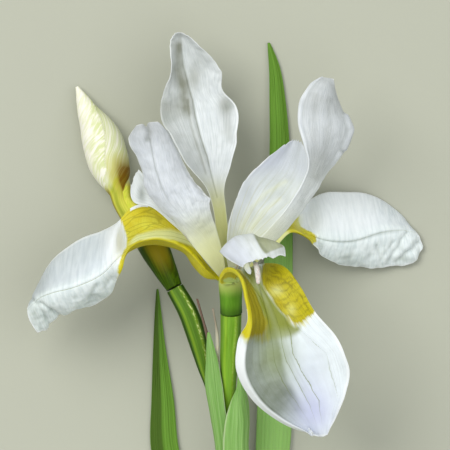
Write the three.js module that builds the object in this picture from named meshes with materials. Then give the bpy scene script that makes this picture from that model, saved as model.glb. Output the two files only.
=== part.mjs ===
// A cut stem of a white iris with yellow signals, lying on its back on a table: an open flower, a bud,
// two green spathes with dry inner bracts, and two sword leaves. Millimetres, +Z up.
// Every place below is measured from the heart of the open flower, where its petals spring from the tube:
// +X and +Y are the right and the top of the flower as seen from above, and +Z comes up off the table.
import * as THREE from "three";

// Driving dimensions
const HEART = [0.6, 29.4, 34.0]; // the heart in the part's own frame, whose origin is under the middle
const TABLE_Z = -34; // the table, seen from the heart
const PETAL_THICK = 0.7;
const LEAF_THICK = 0.8;
const BRACT_THICK = 0.6;
const SEAT_GAP = 0.45; // the clearance between a piece and what carries it
const FLOWER_TILT = THREE.MathUtils.degToRad(17); // the flower's axis rises off the table by this much
const TUBE_TOP = new THREE.Vector3(0.7, -4.0, -0.6); // middle of the rim that the petals stand on

const FALL_RING = 3.1; // how far from the flower's axis each whorl stands
const STANDARD_RING = 2.6;
const STAMEN_RING = 2.0;
const STYLE_RING = 1.1;

const COLOURS = {
  petal: { color: 0xf1f1f4, roughness: 0.55, metalness: 0 },
  fall: { color: 0xeef0ee, roughness: 0.55, metalness: 0 },
  style: { color: 0xf2f1ec, roughness: 0.55, metalness: 0 },
  anther: { color: 0xf3ead6, roughness: 0.7, metalness: 0 },
  green: { color: 0x6d9a36, roughness: 0.5, metalness: 0 },
  spathe: { color: 0x7fae5a, roughness: 0.55, metalness: 0 },
  leaf: { color: 0x578a2c, roughness: 0.5, metalness: 0 },
  bud: { color: 0xe6e6a8, roughness: 0.5, metalness: 0 },
  bract: { color: 0xb59a86, roughness: 0.8, metalness: 0 },
};

// The flower's own axes: along its axis, and the two directions across it.
const AXIS = new THREE.Vector3(0, Math.cos(FLOWER_TILT), Math.sin(FLOWER_TILT));
const ACROSS = new THREE.Vector3(1, 0, 0);
const UPWARD = new THREE.Vector3(0, -Math.sin(FLOWER_TILT), Math.cos(FLOWER_TILT));

const vector = ([x, y, z]) => new THREE.Vector3(x, y, z);

// A point round the flower's axis: azimuth 0 is to the right and 90 is up off the table.
function roundAxis(azimuth, ring, height = 0) {
  const angle = THREE.MathUtils.degToRad(azimuth);
  return TUBE_TOP.clone()
    .addScaledVector(ACROSS, ring * Math.cos(angle))
    .addScaledVector(UPWARD, ring * Math.sin(angle))
    .addScaledVector(AXIS, height);
}

// The foot of a petal: [left margin, rib, right margin] on its whorl's ring, just above the tube.
function foot(azimuth, ring, width, turn) {
  const angle = THREE.MathUtils.degToRad(azimuth);
  const along = new THREE.Vector3()
    .addScaledVector(ACROSS, -Math.sin(angle))
    .addScaledVector(UPWARD, Math.cos(angle))
    .multiplyScalar((turn * width) / 2);
  const rib = roundAxis(azimuth, ring, SEAT_GAP);
  return [rib.clone().add(along), rib, rib.clone().sub(along)];
}

// A petal's or leaf's middle surface. Each station is [left margin, rib, right margin]; smooth curves run
// along the three, and an arc runs across them. end(v) shortens the tip at v, which goes from -1 at the left
// margin to 1 at the right.
function surfaceOf(stations, end = () => 1) {
  const railThrough = (points) => new THREE.CatmullRomCurve3(points, false, "centripetal");
  const rails = [0, 1, 2].map((i) => railThrough(stations.map((station) => station[i])));
  return (u, v) => {
    const [left, rib, right] = rails.map((rail) => rail.getPoint(u * end(v)));
    const toRib = left.distanceTo(rib);
    const share = toRib / (toRib + rib.distanceTo(right));
    const w = v < 0 ? share * (1 + v) : share + (1 - share) * v;
    return new THREE.Vector3()
      .addScaledVector(left, ((w - share) * (w - 1)) / share)
      .addScaledVector(rib, (w * (w - 1)) / (share * (share - 1)))
      .addScaledVector(right, (w * (w - share)) / (1 - share));
  };
}

// A closed blade round a middle surface: two faces of like triangles, and a rim.
function bladeGeometry(surface, { rows, columns, thick }) {
  const at = (i, j) => surface(i / rows, (2 * j) / columns - 1);
  const middle = [];
  for (let i = 0; i <= rows; i++) middle.push(Array.from({ length: columns + 1 }, (_, j) => at(i, j)));
  const normalAt = (i, j) => {
    const lengthwise = middle[Math.min(i + 1, rows)][j].clone().sub(middle[Math.max(i - 1, 0)][j]);
    const crosswise = middle[i][Math.min(j + 1, columns)].clone().sub(middle[i][Math.max(j - 1, 0)]);
    return crosswise.cross(lengthwise).normalize();
  };
  const positions = [];
  for (const face of [1, -1])
    for (let i = 0; i <= rows; i++)
      for (let j = 0; j <= columns; j++) {
        const shift = (face * thick) / 2;
        positions.push(...middle[i][j].clone().addScaledVector(normalAt(i, j), shift).toArray());
      }
  const perFace = (rows + 1) * (columns + 1);
  const id = (face, i, j) => face * perFace + i * (columns + 1) + j;
  const faces = [];
  const quad = (a, b, c, d) => faces.push(a, b, c, a, c, d);
  for (let i = 0; i < rows; i++)
    for (let j = 0; j < columns; j++) {
      quad(id(0, i, j), id(0, i, j + 1), id(0, i + 1, j + 1), id(0, i + 1, j));
      const [a, b, c, d] = [id(1, i, j), id(1, i, j + 1), id(1, i + 1, j + 1), id(1, i + 1, j)];
      faces.push(a, c, b, a, d, c);
    }
  for (let i = 0; i < rows; i++) {
    quad(id(0, i, 0), id(0, i + 1, 0), id(1, i + 1, 0), id(1, i, 0));
    quad(id(0, i + 1, columns), id(0, i, columns), id(1, i, columns), id(1, i + 1, columns));
  }
  for (let j = 0; j < columns; j++) {
    quad(id(0, 0, j + 1), id(0, 0, j), id(1, 0, j), id(1, 0, j + 1));
    quad(id(0, rows, j), id(0, rows, j + 1), id(1, rows, j + 1), id(1, rows, j));
  }
  return closedGeometry(positions, faces);
}

// A round rod along a curve. radius(s, angle) is its radius at share s of its length, and up keeps it
// from twisting.
function rodGeometry(points, radius, { rings, sides, up = [0, 0, 1] }) {
  const line = new THREE.CatmullRomCurve3(points.map(vector), false, "centripetal");
  const positions = [];
  const faces = [];
  for (let i = 0; i <= rings; i++) {
    const s = i / rings;
    const centre = line.getPoint(s);
    const tangent = line.getTangent(s);
    const side = tangent.clone().cross(vector(up)).normalize();
    const top = side.clone().cross(tangent);
    for (let k = 0; k < sides; k++) {
      const angle = ((k + 0.5) / sides) * 2 * Math.PI;
      const r = radius(s, angle);
      positions.push(
        ...centre
          .clone()
          .addScaledVector(side, r * Math.cos(angle))
          .addScaledVector(top, r * Math.sin(angle))
          .toArray(),
      );
    }
  }
  for (let i = 0; i < rings; i++)
    for (let k = 0; k < sides; k++) {
      const next = (k + 1) % sides;
      const [a, b, c, d] = [i * sides + k, i * sides + next, (i + 1) * sides + next, (i + 1) * sides + k];
      faces.push(a, c, b, a, d, c);
    }
  for (let k = 1; k < sides - 1; k++) {
    faces.push(0, k, k + 1);
    const last = rings * sides;
    faces.push(last, last + k + 1, last + k);
  }
  return closedGeometry(positions, faces);
}

// Points and faces as a geometry whose faces point out.
function closedGeometry(positions, faces) {
  const geometry = new THREE.BufferGeometry();
  geometry.setAttribute("position", new THREE.Float32BufferAttribute(positions, 3));
  let volume = 0;
  const corner = (i) => new THREE.Vector3().fromArray(positions, 3 * i);
  for (let i = 0; i < faces.length; i += 3)
    volume += corner(faces[i]).dot(corner(faces[i + 1]).cross(corner(faces[i + 2])));
  const outward = volume > 0 ? faces : faces.map((f, i) => faces[i - (i % 3) + [0, 2, 1][i % 3]]);
  geometry.setIndex(outward);
  return geometry;
}

const flower = new THREE.Group();

function addPiece(name, geometry, look) {
  const mesh = new THREE.Mesh(geometry, new THREE.MeshStandardMaterial(COLOURS[look]));
  mesh.name = name;
  flower.add(mesh);
}

const stationsOf = (rows) => rows.map((row) => row.map(vector));

// Falls: the three outer petals. Each has a channelled yellow haft and a broad white blade.
// The margins of the two side falls are the far and the near one; those of the front fall are left and right.
const FALL_SHAPE = { rows: 22, columns: 8, thick: PETAL_THICK };

function addFallLeft() {
  const rows = [
    [[-6.3, 1.2, -4.5], [-6.6, -2.9, -1.2], [-6.4, -0.4, 2.6]],
    [[-10.5, 7.2, -7], [-10.2, 0.4, -2.2], [-9.2, 2.8, 4]],
    [[-14.1, 12.0, -8], [-13.4, 5.0, -3], [-12.4, 6.0, 5]],
    [[-18.6, 16.5, -8], [-18.3, 7.2, -3], [-18.0, 8.6, 7]],
    [[-23.7, 19.2, -8], [-24.0, 7.6, -2], [-24.0, 8.9, 8]],
    [[-29.1, 18.2, -7], [-29.1, 5.6, 0.5], [-29.4, 6.0, 7.5]],
    [[-33.6, 13.4, -6.5], [-33.2, 2.6, 3], [-32.2, -1.2, 2.5]],
    [[-38.4, 11.0, -7], [-38.1, -2.1, 4], [-36.3, -8.4, -5]],
    [[-46.2, 7.7, -8], [-45.9, -5.7, 2], [-45.0, -12.8, -9]],
    [[-53.1, 2.1, -10], [-52.8, -7.5, -1], [-51.6, -15.3, -10]],
    [[-57.0, -4.8, -11], [-57.2, -9.4, -4], [-55.2, -18.4, -10]],
    [[-59.1, -9.6, -10], [-60.4, -12.6, -7], [-57.4, -19.4, -8.5]],
  ];
  const stations = [foot(195, FALL_RING, 1.8, 1), ...stationsOf(rows)];
  addPiece("fall_left", bladeGeometry(surfaceOf(stations), FALL_SHAPE), "fall");
}

function addFallRight() {
  const rows = [
    [[6.6, 5.4, -6], [6.0, 2.4, -4.6], [6.9, 0.6, -1.8]],
    [[11.6, 11.4, -12], [12.6, 7.4, -10], [13.5, 6.2, -5]],
    [[17.7, 16.2, -18], [18.6, 11.5, -15], [19.0, 11.2, -9]],
    [[21.9, 18.4, -22], [23.1, 10.5, -17.5], [24.6, 8.6, -12.5]],
    [[28.2, 22.2, -26], [29.1, 8.7, -19], [28.3, 3.6, -20]],
    [[37.2, 23.1, -30], [37.2, 8.4, -21.5], [36.6, 0.4, -27.5]],
    [[45.8, 21.0, -32.8], [46.4, 11.0, -25], [47.3, 0.0, -31]],
    [[52.6, 16.1, -33.5], [53.5, 11.5, -29], [56.0, 1.7, -32]],
    [[55.3, 12.1, -33.6], [57.5, 10.3, -32], [59.3, 6.4, -32.4]],
  ];
  const stations = [foot(-35, FALL_RING, 1.8, -1), ...stationsOf(rows)];
  addPiece("fall_right", bladeGeometry(surfaceOf(stations), FALL_SHAPE), "fall");
}

function addFallFront() {
  const rows = [
    [[-2.4, -4.0, 4.6], [2.0, -2.4, 5.0], [4.8, -1.6, 3.8]],
    [[-1.2, -0.9, 9], [3.6, -0.6, 8.5], [8.0, 0.6, 7.0]],
    [[1.4, -0.6, 14], [6.0, -0.9, 12.0], [12.4, 1.5, 10.6]],
    [[3.7, -3.3, 18.5], [8.7, -3.6, 16], [17.0, 0.3, 15]],
    [[5.0, -8.4, 22], [10.5, -9.0, 18.5], [21.6, -5.4, 19]],
    [[6.0, -16.2, 24], [12.3, -15.6, 19.5], [26.1, -13.2, 21.5]],
    [[3.6, -23.7, 22], [13.8, -23.1, 18.5], [32.4, -22.0, 21]],
    [[3.3, -31.2, 19.5], [15.3, -30.6, 16.5], [36.3, -30.3, 19]],
    [[7.8, -39.6, 15.5], [18.3, -38.1, 13.5], [35.4, -37.2, 16]],
    [[15.9, -45.9, 12], [21.9, -44.4, 11], [32.6, -45.6, 13]],
    [[24.3, -49.8, 10], [27.6, -50.6, 10], [30.3, -49.8, 10.6]],
  ];
  const stations = [foot(60, FALL_RING, 1.8, 1), ...stationsOf(rows)];
  addPiece("fall_front", bladeGeometry(surfaceOf(stations), FALL_SHAPE), "fall");
}

// Standards: the three upright inner petals, on narrow claws.
const STANDARD_SHAPE = { rows: 20, columns: 8, thick: PETAL_THICK };

function addStandardBack() {
  const rows = [
    [[-2.4, 8.4, -3.6], [-1.2, 8.4, -4.6], [0.0, 8.4, -3.9]],
    [[-4.1, 17.4, -6.2], [-3.0, 17.4, -7.4], [-0.6, 17.4, -6.4]],
    [[-6.5, 24.0, -8.5], [-4.7, 24.0, -10], [-1.1, 24.0, -8.8]],
    [[-12.2, 31.0, -10], [-6.2, 31.0, -13], [0.9, 31.0, -10.8]],
    [[-16.8, 39.0, -11.5], [-8.1, 39.0, -15.5], [2.7, 39.0, -13]],
    [[-20.8, 48.3, -14], [-10.4, 48.3, -17], [2.6, 48.3, -15]],
    [[-19.4, 53.4, -13], [-11.6, 53.4, -17], [-1.4, 53.4, -15.5]],
    [[-16.7, 59.4, -13], [-12.9, 59.4, -16.5], [-2.0, 59.4, -13.5]],
    [[-17.3, 65.4, -12.5], [-13.8, 65.4, -15], [-6.9, 65.4, -12]],
    [[-17.1, 69.0, -11.5], [-14.3, 69.4, -13], [-10.8, 69.0, -11]],
    [[-15.6, 70.7, -10.5], [-14.7, 70.9, -11], [-13.4, 70.7, -10.3]],
  ];
  const stations = [foot(260, STANDARD_RING, 1.8, -1), ...stationsOf(rows)];
  addPiece("standard_back", bladeGeometry(surfaceOf(stations), STANDARD_SHAPE), "petal");
}

function addStandardLeft() {
  const rows = [
    [[-5.4, 0.6, 6], [-4.2, 2.8, 6.6], [-2.4, 3.8, 7]],
    [[-10.2, 6.3, 8.5], [-9.0, 7.9, 9.5], [-5.4, 9.6, 10]],
    [[-15.6, 13.8, 9.5], [-14.1, 13.8, 12], [-5.7, 16.8, 13]],
    [[-21.0, 18.6, 10.5], [-18.0, 19.5, 14], [-5.5, 21.3, 13.5]],
    [[-24.6, 23.7, 12], [-20.7, 24.9, 16], [-8.7, 25.2, 13]],
    [[-25.2, 28.8, 13.5], [-22.2, 30.9, 17], [-12.5, 31.8, 13]],
    [[-27.8, 34.2, 14.5], [-22.8, 36.0, 17.5], [-15.6, 37.2, 13.5]],
    [[-29.8, 38.7, 15], [-23.6, 40.2, 17.5], [-17.7, 41.1, 14.5]],
    [[-27.4, 42.6, 15.5], [-24.4, 43.4, 16.5], [-20.4, 43.7, 15.5]],
  ];
  const stations = [foot(128, STANDARD_RING, 1.8, 1), ...stationsOf(rows)];
  const notch = (v) => 1 - 0.03 * Math.exp(-(((v + 0.1) / 0.15) ** 2));
  addPiece("standard_left", bladeGeometry(surfaceOf(stations, notch), STANDARD_SHAPE), "petal");
}

function addStandardRight() {
  const rows = [
    [[5.9, 4.4, 3.4], [6.8, 3.4, 2.2], [7.6, 2.4, 1.2]],
    [[12.6, 12.3, 5.5], [14.4, 10.8, 4.0], [16.2, 9.9, 2]],
    [[17.1, 17.4, 7], [18.9, 16.4, 5.4], [21.2, 15.9, 2]],
    [[21.6, 24.6, 8], [23.7, 23.4, 6.4], [26.6, 24.3, 1.5]],
    [[23.9, 30.9, 8.5], [26.4, 30.0, 6.8], [30.3, 29.9, 0]],
    [[22.8, 36.3, 9], [28.2, 36.0, 7.0], [35.1, 35.0, -1]],
    [[20.7, 44.4, 8], [29.1, 42.9, 7.5], [37.1, 41.7, 0.5]],
    [[21.6, 50.4, 6], [29.7, 48.9, 7], [33.9, 48.6, 1.5]],
    [[24.9, 55.2, 4.5], [30.3, 54.0, 4.8], [32.4, 52.8, 2]],
    [[28.2, 57.2, 3], [30.3, 57.0, 2.9], [31.8, 56.7, 2.5]],
  ];
  const stations = [foot(15, STANDARD_RING, 1.8, 1), ...stationsOf(rows)];
  addPiece("standard_right", bladeGeometry(surfaceOf(stations), STANDARD_SHAPE), "petal");
}

// Style arms: petal-like straps over the hafts. Each ends in a ragged crest.
const STYLE_SHAPE = { rows: 16, columns: 8, thick: PETAL_THICK };
const raggedEnd = (depth, notchAt) => (v) => {
  const teeth = 0.5 + 0.5 * Math.cos(4 * Math.PI * (v + 0.25));
  return 1 - depth * teeth - 0.12 * Math.exp(-(((v - notchAt) / 0.2) ** 2));
};

function addStyleLeft() {
  const rows = [
    [[-6.0, 5.4, -3.2], [-5.4, 3.6, 0.4], [-5.0, 2.2, 2.0]],
    [[-11.5, 11.6, -2.4], [-11.0, 9.4, 1.6], [-11.0, 8.0, 2.6]],
    [[-16.0, 18.6, -1], [-16.3, 16.0, 2.5], [-17.0, 13.4, 3]],
    [[-21.0, 23.0, 0], [-22.0, 20.5, 3], [-22.7, 18.2, 3]],
    [[-24.2, 27.0, 1], [-27.0, 22.8, 3.2], [-28.2, 19.9, 2.5]],
    [[-27.0, 29.4, 0], [-28.3, 27.4, 1.2], [-28.9, 25.0, 1.5]],
  ];
  const stations = [foot(195, STYLE_RING, 1.4, 1), ...stationsOf(rows)];
  addPiece("style_left", bladeGeometry(surfaceOf(stations), STYLE_SHAPE), "style");
}

function addStyleRight() {
  const rows = [
    [[1.6, 5.4, -2.4], [3.0, 5.6, -3.4], [5.0, 4.6, -2.2]],
    [[1.4, 12.0, -4], [5.6, 12.2, -6.0], [11.6, 10.4, -3.8]],
    [[2.4, 19.0, -6], [8.8, 18.2, -8.8], [17.6, 15.4, -5.2]],
    [[5.4, 26.2, -9], [12.6, 23.8, -11.6], [22.6, 21.8, -8]],
    [[10.8, 32.2, -12], [17.0, 29.6, -14], [24.6, 28.4, -11]],
    [[17.4, 38.0, -14.5], [20.8, 38.8, -16], [24.2, 35.4, -14]],
  ];
  const stations = [foot(-35, STYLE_RING, 1.4, -1), ...stationsOf(rows)];
  const blade = bladeGeometry(surfaceOf(stations, raggedEnd(0.03, -0.9)), STYLE_SHAPE);
  addPiece("style_right", blade, "style");
}

function addStyleFront() {
  const rows = [
    [[-0.4, 2.6, 4.8], [1.4, 4.6, 5.4], [3.2, 3.6, 4.4]],
    [[-1.8, 4.5, 11], [3.0, 8.4, 12], [7.2, 7.2, 10]],
    [[-2.3, 4.7, 17], [5.4, 10.0, 18], [11.4, 7.2, 15]],
    [[0.3, 2.4, 21], [7.8, 7.8, 23], [15.6, 6.3, 19]],
    [[4.5, 0.2, 24], [10.4, 2.4, 25.6], [17.1, 3.4, 22]],
  ];
  const stations = [foot(60, STYLE_RING, 1.4, 1), ...stationsOf(rows)];
  const blade = bladeGeometry(surfaceOf(stations, raggedEnd(0.03, 0.45)), STYLE_SHAPE);
  addPiece("style_front", blade, "style");
}

// Stamens: a thin filament under each style arm, with a long anther.
function addStamen(name, azimuth, points) {
  const radius = (s) => {
    const anther = Math.sin(Math.PI * THREE.MathUtils.clamp((s - 0.6) / 0.4, 0, 1));
    return 0.35 + 0.65 * Math.sqrt(anther);
  };
  const start = roundAxis(azimuth, STAMEN_RING, SEAT_GAP).toArray();
  addPiece(name, rodGeometry([start, ...points], radius, { rings: 14, sides: 6, up: [1, 0.3, 0] }), "anther");
}

// The stalk: tube and ovary under the open flower, the ovary of the bud, and the stem.
const profile = (knots) => (s) => {
  const last = knots.length - 1;
  const i = Math.min(Math.floor(s * last), last - 1);
  return THREE.MathUtils.lerp(knots[i], knots[i + 1], s * last - i);
};

function addTube() {
  const radius = profile([2.95, 2.9, 3.1, 3.5, 3.8]);
  const points = [[0.9, -13.4, -3.5], [0.8, -8.7, -2.0], TUBE_TOP.toArray()];
  addPiece("perianth_tube", rodGeometry(points, radius, { rings: 4, sides: 18 }), "green");
}

function addOvaryOpen() {
  const body = profile([1.7, 1.8, 2.1, 2.5, 2.7, 2.9, 3.0, 3.05]);
  const radius = (s, angle) => body(s) * (1 + 0.05 * Math.cos(6 * angle) * Math.min(1, 2 * s));
  const points = [
    [0.9, -46.6, -14.2],
    [0.3, -38, -11.3],
    [0.3, -28, -8.1],
    [0.8, -20, -5.6],
    [0.9, -13.8, -3.65],
  ];
  addPiece("ovary_open", rodGeometry(points, radius, { rings: 14, sides: 18 }), "green");
}

function addOvaryBud() {
  const body = profile([1.2, 1.3, 1.5, 2.1, 2.7, 2.9, 2.8, 2.6]);
  const radius = (s, angle) => body(s) * (1 + 0.05 * Math.cos(6 * angle) * Math.min(1, 2 * s));
  const points = [
    [-2.3, -46.2, -15.3],
    [-4.8, -38, -15.4],
    [-6.9, -30.6, -15],
    [-9.2, -21.6, -14.3],
    [-12, -13.5, -14.2],
    [-16, -6.2, -14.6],
  ];
  addPiece("ovary_bud", rodGeometry(points, radius, { rings: 14, sides: 18 }), "green");
}

function addBud() {
  const body = profile([2.55, 3.6, 4.5, 4.1, 3.1, 3.4, 5.2, 6.2, 6.2, 5.3, 3.5, 1.9, 0.5]);
  const radius = (s, angle) => {
    const turn = (3 * angle) / (2 * Math.PI) + 1.6 * s;
    const step = turn - Math.floor(turn);
    return body(s) * (1 + 0.07 * (step - 0.5) * Math.sin(Math.PI * s));
  };
  const points = [
    [-16.2, -5.9, -14.65],
    [-18.9, -0.6, -15.4],
    [-22.5, 6.3, -16.6],
    [-27.0, 13.2, -18.6],
    [-31.6, 19.5, -21],
    [-32.8, 23.6, -22.4],
    [-34.6, 28.1, -24.2],
    [-36.3, 32.6, -26.3],
    [-37.6, 37.2, -27.8],
    [-39.5, 41.8, -28.8],
    [-41.9, 46.3, -29.9],
    [-44.1, 50.9, -30.9],
    [-45.8, 54.8, -31.6],
  ];
  addPiece("bud", rodGeometry(points, radius, { rings: 24, sides: 18 }), "bud");
}

const STEM_RADIUS = 3.5;
const STEM_SIDES = 12;
const STEM_REST = TABLE_Z + STEM_RADIUS * Math.cos(Math.PI / STEM_SIDES); // lying on one of its flat sides
const STEM_LINE = [
  [4.5, -130, STEM_REST],
  [4.5, -122, STEM_REST],
  [4.4, -114, STEM_REST + 0.2],
  [4.0, -100, -28.8],
  [3.0, -82, -25],
  [1.6, -62, -19.2],
  [0.3, -47, -14.6],
];

function addStem() {
  addPiece("stem", rodGeometry(STEM_LINE, () => STEM_RADIUS, { rings: 18, sides: STEM_SIDES }), "green");
}

// Spathes: the two green bracts that sheathe the stalks, and the dry ones inside them.
const SPATHE_SHAPE = { rows: 12, columns: 6, thick: PETAL_THICK };

function addSpatheLeft() {
  const rows = [
    [[-2.6, -68, -23.4], [-1.8, -68, -17.6], [3.2, -68, -16.2]],
    [[-3.4, -54.6, -18.5], [-2.2, -54.6, -13.2], [2.0, -54.6, -12.2]],
    [[-5.4, -43.5, -14.5], [-3.4, -43.5, -10], [-0.6, -43.5, -8.7]],
    [[-6.9, -35, -11.6], [-4.4, -35, -8.4], [-1.7, -35, -7.4]],
    [[-6.5, -27, -9.6], [-5.0, -27, -7.4], [-3.2, -27, -6.6]],
    [[-6.2, -19.5, -6.4], [-5.8, -19.3, -6.1], [-5.4, -19.5, -6.0]],
  ];
  addPiece("spathe_left", bladeGeometry(surfaceOf(stationsOf(rows)), SPATHE_SHAPE), "spathe");
}

function addSpatheFront() {
  const rows = [
    [[-0.6, -66, -14.9], [5.8, -66, -15.6], [7.4, -66, -22.6]],
    [[-1.5, -54.6, -10.8], [4.2, -54.6, -11.0], [5.9, -54.6, -17.4]],
    [[-0.8, -46, -7.6], [4.4, -46, -7.6], [6.3, -46, -13]],
    [[0.9, -40, -6.3], [3.8, -40, -5.8], [6.1, -40, -9.5]],
    [[2.6, -36, -5.6], [3.7, -36, -5.3], [4.9, -36, -6.5]],
    [[3.1, -32.3, -4.8], [3.5, -32.1, -4.7], [3.9, -32.3, -4.8]],
  ];
  addPiece("spathe_front", bladeGeometry(surfaceOf(stationsOf(rows)), SPATHE_SHAPE), "spathe");
}

function addDryBract(name, width, line) {
  const last = line.length - 1;
  const rows = line.map(([x, y, z], i) => {
    const half = (width / 2) * (1 - 0.7 * (i / last) ** 2);
    return [[x - half, y, z - 0.1], [x, y, z], [x + half, y, z - 0.1]];
  });
  const shape = { rows: 8, columns: 2, thick: BRACT_THICK };
  addPiece(name, bladeGeometry(surfaceOf(stationsOf(rows)), shape), "bract");
}

// Sword leaves: each clasps the stem at its foot and runs up the table beside the flower.
const LEAF_SHAPE = { rows: 22, columns: 4, thick: LEAF_THICK };

function addLeafTall() {
  const rows = [
    [[3.6, -98, -23.1], [9.3, -98, -28.4], [3.6, -98, -33.4]],
    [[3.6, -92, -21.6], [9.1, -92, -27.1], [4.2, -92, -32.6]],
    [[5.4, -84, -20.6], [9.0, -84, -24.2], [9.2, -84, -30.0]],
    [[8.0, -70, -23.0], [11.9, -70, -26.0], [15.4, -70, -30.5]],
    [[8.4, -54.6, -28.5], [13.6, -54.6, -28.6], [18.8, -54.6, -32.0]],
    [[9.8, -20, -31.2], [14.8, -20, -30.2], [19.4, -20, -32.6]],
    [[11.4, 11, -31.6], [15.8, 11, -30.4], [19.6, 11, -32.4]],
    [[12.6, 35, -32.0], [16.2, 35, -31.2], [18.8, 35, -32.6]],
    [[12.6, 50.5, -32.4], [15.5, 50.5, -31.9], [17.4, 50.5, -32.9]],
    [[12.5, 60.5, -32.9], [14.4, 60.5, -32.6], [15.7, 60.5, -33.1]],
    [[12.0, 68.0, -33.2], [12.4, 68.2, -33.1], [12.8, 68.0, -33.2]],
  ];
  addPiece("leaf_tall", bladeGeometry(surfaceOf(stationsOf(rows)), LEAF_SHAPE), "leaf");
}

function addLeafShort() {
  const rows = [
    [[0.2, -112, -32.6], [0.9, -112, -26.8], [4.4, -112, -25.6]],
    [[-3.6, -100, -31.6], [-1.8, -100, -26.2], [1.6, -100, -23.6]],
    [[-14.6, -80, -32.4], [-10.8, -80, -28.6], [-6.0, -80, -27.2]],
    [[-20.6, -66, -33.0], [-16.4, -66, -31.0], [-11.6, -66, -30.6]],
    [[-23.4, -54.6, -33.0], [-19.6, -54.6, -32.0], [-14.9, -54.6, -32.4]],
    [[-23.2, -40, -33.0], [-20.2, -40, -32.2], [-16.4, -40, -32.6]],
    [[-22.5, -22, -33.0], [-20.9, -22, -32.5], [-19.3, -22, -32.8]],
    [[-21.7, -6.7, -33.2], [-21.4, -6.5, -33.1], [-21.1, -6.7, -33.2]],
  ];
  addPiece("leaf_short", bladeGeometry(surfaceOf(stationsOf(rows)), LEAF_SHAPE), "leaf");
}

addFallLeft();
addFallRight();
addFallFront();
addStandardBack();
addStandardLeft();
addStandardRight();
addStyleLeft();
addStyleRight();
addStyleFront();
addStamen("stamen_front", 60, [
  [3.0, 1.4, 8],
  [5.6, 2.2, 14],
  [8.0, 1.6, 20],
  [8.8, -1.2, 23],
  [9.0, -4.6, 24.4],
]);
addStamen("stamen_left", 195, [
  [-5.6, 1.6, -1.0],
  [-11.6, 8.4, -1.4],
  [-17.0, 14.6, -2.0],
  [-20.4, 17.6, -2.2],
  [-24.0, 20.4, -2.4],
]);
addStamen("stamen_right", -35, [
  [5.4, 3.8, -4.0],
  [10.0, 9.4, -8.0],
  [14.2, 13.0, -11.2],
  [17.2, 14.6, -13.0],
  [20.2, 15.4, -14.6],
]);
addTube();
addOvaryOpen();
addOvaryBud();
addBud();
addStem();
addSpatheLeft();
addSpatheFront();
addDryBract("bract_dry_left", 1.4, [
  [-4.5, -33, -10.2],
  [-4.8, -26, -9.0],
  [-6.2, -20.4, -8.4],
  [-9.3, -9.3, -8.6],
]);
addDryBract("bract_dry_right", 1.2, [
  [-3.0, -34, -10.6],
  [-3.2, -28, -8.2],
  [-3.3, -20, -6.4],
  [-4.5, -12.1, -4.4],
]);
addLeafTall();
addLeafShort();

flower.position.set(...HEART);

export default flower;
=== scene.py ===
"""A cut stem of a white iris with yellow signals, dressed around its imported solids. Metres, +Z up.

Places are in millimetres from the heart of the open flower, where its petals spring from the tube, as in
the part: +X and +Y are the right and the top of the flower as the camera sees it from above, and +Z comes
up off the table. Every blade keeps the middle surface of the solid that it replaces, or stays within about
two millimetres of it.
"""
import math

import bpy
import numpy as np
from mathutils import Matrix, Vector, noise


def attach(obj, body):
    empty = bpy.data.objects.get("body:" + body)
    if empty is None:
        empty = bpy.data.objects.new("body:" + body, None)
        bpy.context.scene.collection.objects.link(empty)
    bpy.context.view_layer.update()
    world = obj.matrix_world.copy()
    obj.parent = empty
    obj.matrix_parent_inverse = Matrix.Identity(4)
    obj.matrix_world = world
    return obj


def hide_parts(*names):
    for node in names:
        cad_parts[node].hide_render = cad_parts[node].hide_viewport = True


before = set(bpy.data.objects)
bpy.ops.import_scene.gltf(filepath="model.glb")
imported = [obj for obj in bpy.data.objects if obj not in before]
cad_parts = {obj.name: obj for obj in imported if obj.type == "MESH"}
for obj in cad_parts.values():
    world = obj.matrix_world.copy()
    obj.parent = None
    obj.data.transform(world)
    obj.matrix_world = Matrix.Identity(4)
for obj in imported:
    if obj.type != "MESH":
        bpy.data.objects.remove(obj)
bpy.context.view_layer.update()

MM = 0.001
HEART = np.array([0.6, 29.4, 34.0])  # the heart in the part's own frame
TABLE_Z = -34.0
SEAT_GAP = 0.45  # between the tube's rim and the feet of the petals
FLOWER_TILT = math.radians(17)  # how far the open flower's axis rises off the table
TUBE_TOP = np.array([0.7, -4.0, -0.6])

# The open flower's own directions: across it, along its axis, and up from its lower side.
ACROSS = np.array([1.0, 0, 0])
ALONG = np.array([0, math.cos(FLOWER_TILT), math.sin(FLOWER_TILT)])
UP = np.array([0, -math.sin(FLOWER_TILT), math.cos(FLOWER_TILT)])

PHOTO_PX = 450
MM_PER_PX = 0.3
HEART_PX = (228, 268)  # where the photograph shows the heart
CAMERA_HEIGHT = 3000  # above the heart
SENSOR = 36


# Curves and surfaces


def catmull(points, share):
    """Where a smooth curve through the points is, at each of the given shares of it."""
    points = np.asarray(points, float)
    last = len(points) - 1
    padded = np.vstack([2 * points[0] - points[1], points, 2 * points[-1] - points[-2]])
    place = np.clip(share, 0, 1) * last
    i = np.minimum(place.astype(int), last - 1)
    t = (place - i)[..., None]
    p0, p1, p2, p3 = (padded[i + k] for k in range(4))

    def step(a, b):
        return np.maximum(np.sum((b - a) ** 2, axis=-1, keepdims=True) ** 0.25, 1e-4)

    d0, d1, d2 = step(p0, p1), step(p1, p2), step(p2, p3)
    m1 = ((p1 - p0) / d0 - (p2 - p0) / (d0 + d1) + (p2 - p1) / d1) * d1
    m2 = ((p2 - p1) / d1 - (p3 - p1) / (d1 + d2) + (p3 - p2) / d2) * d1
    return p1 + m1 * t + (3 * (p2 - p1) - 2 * m1 - m2) * t**2 + (2 * (p1 - p2) + m1 + m2) * t**3


def unit(vectors):
    return vectors / np.maximum(np.linalg.norm(vectors, axis=-1, keepdims=True), 1e-9)


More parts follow.
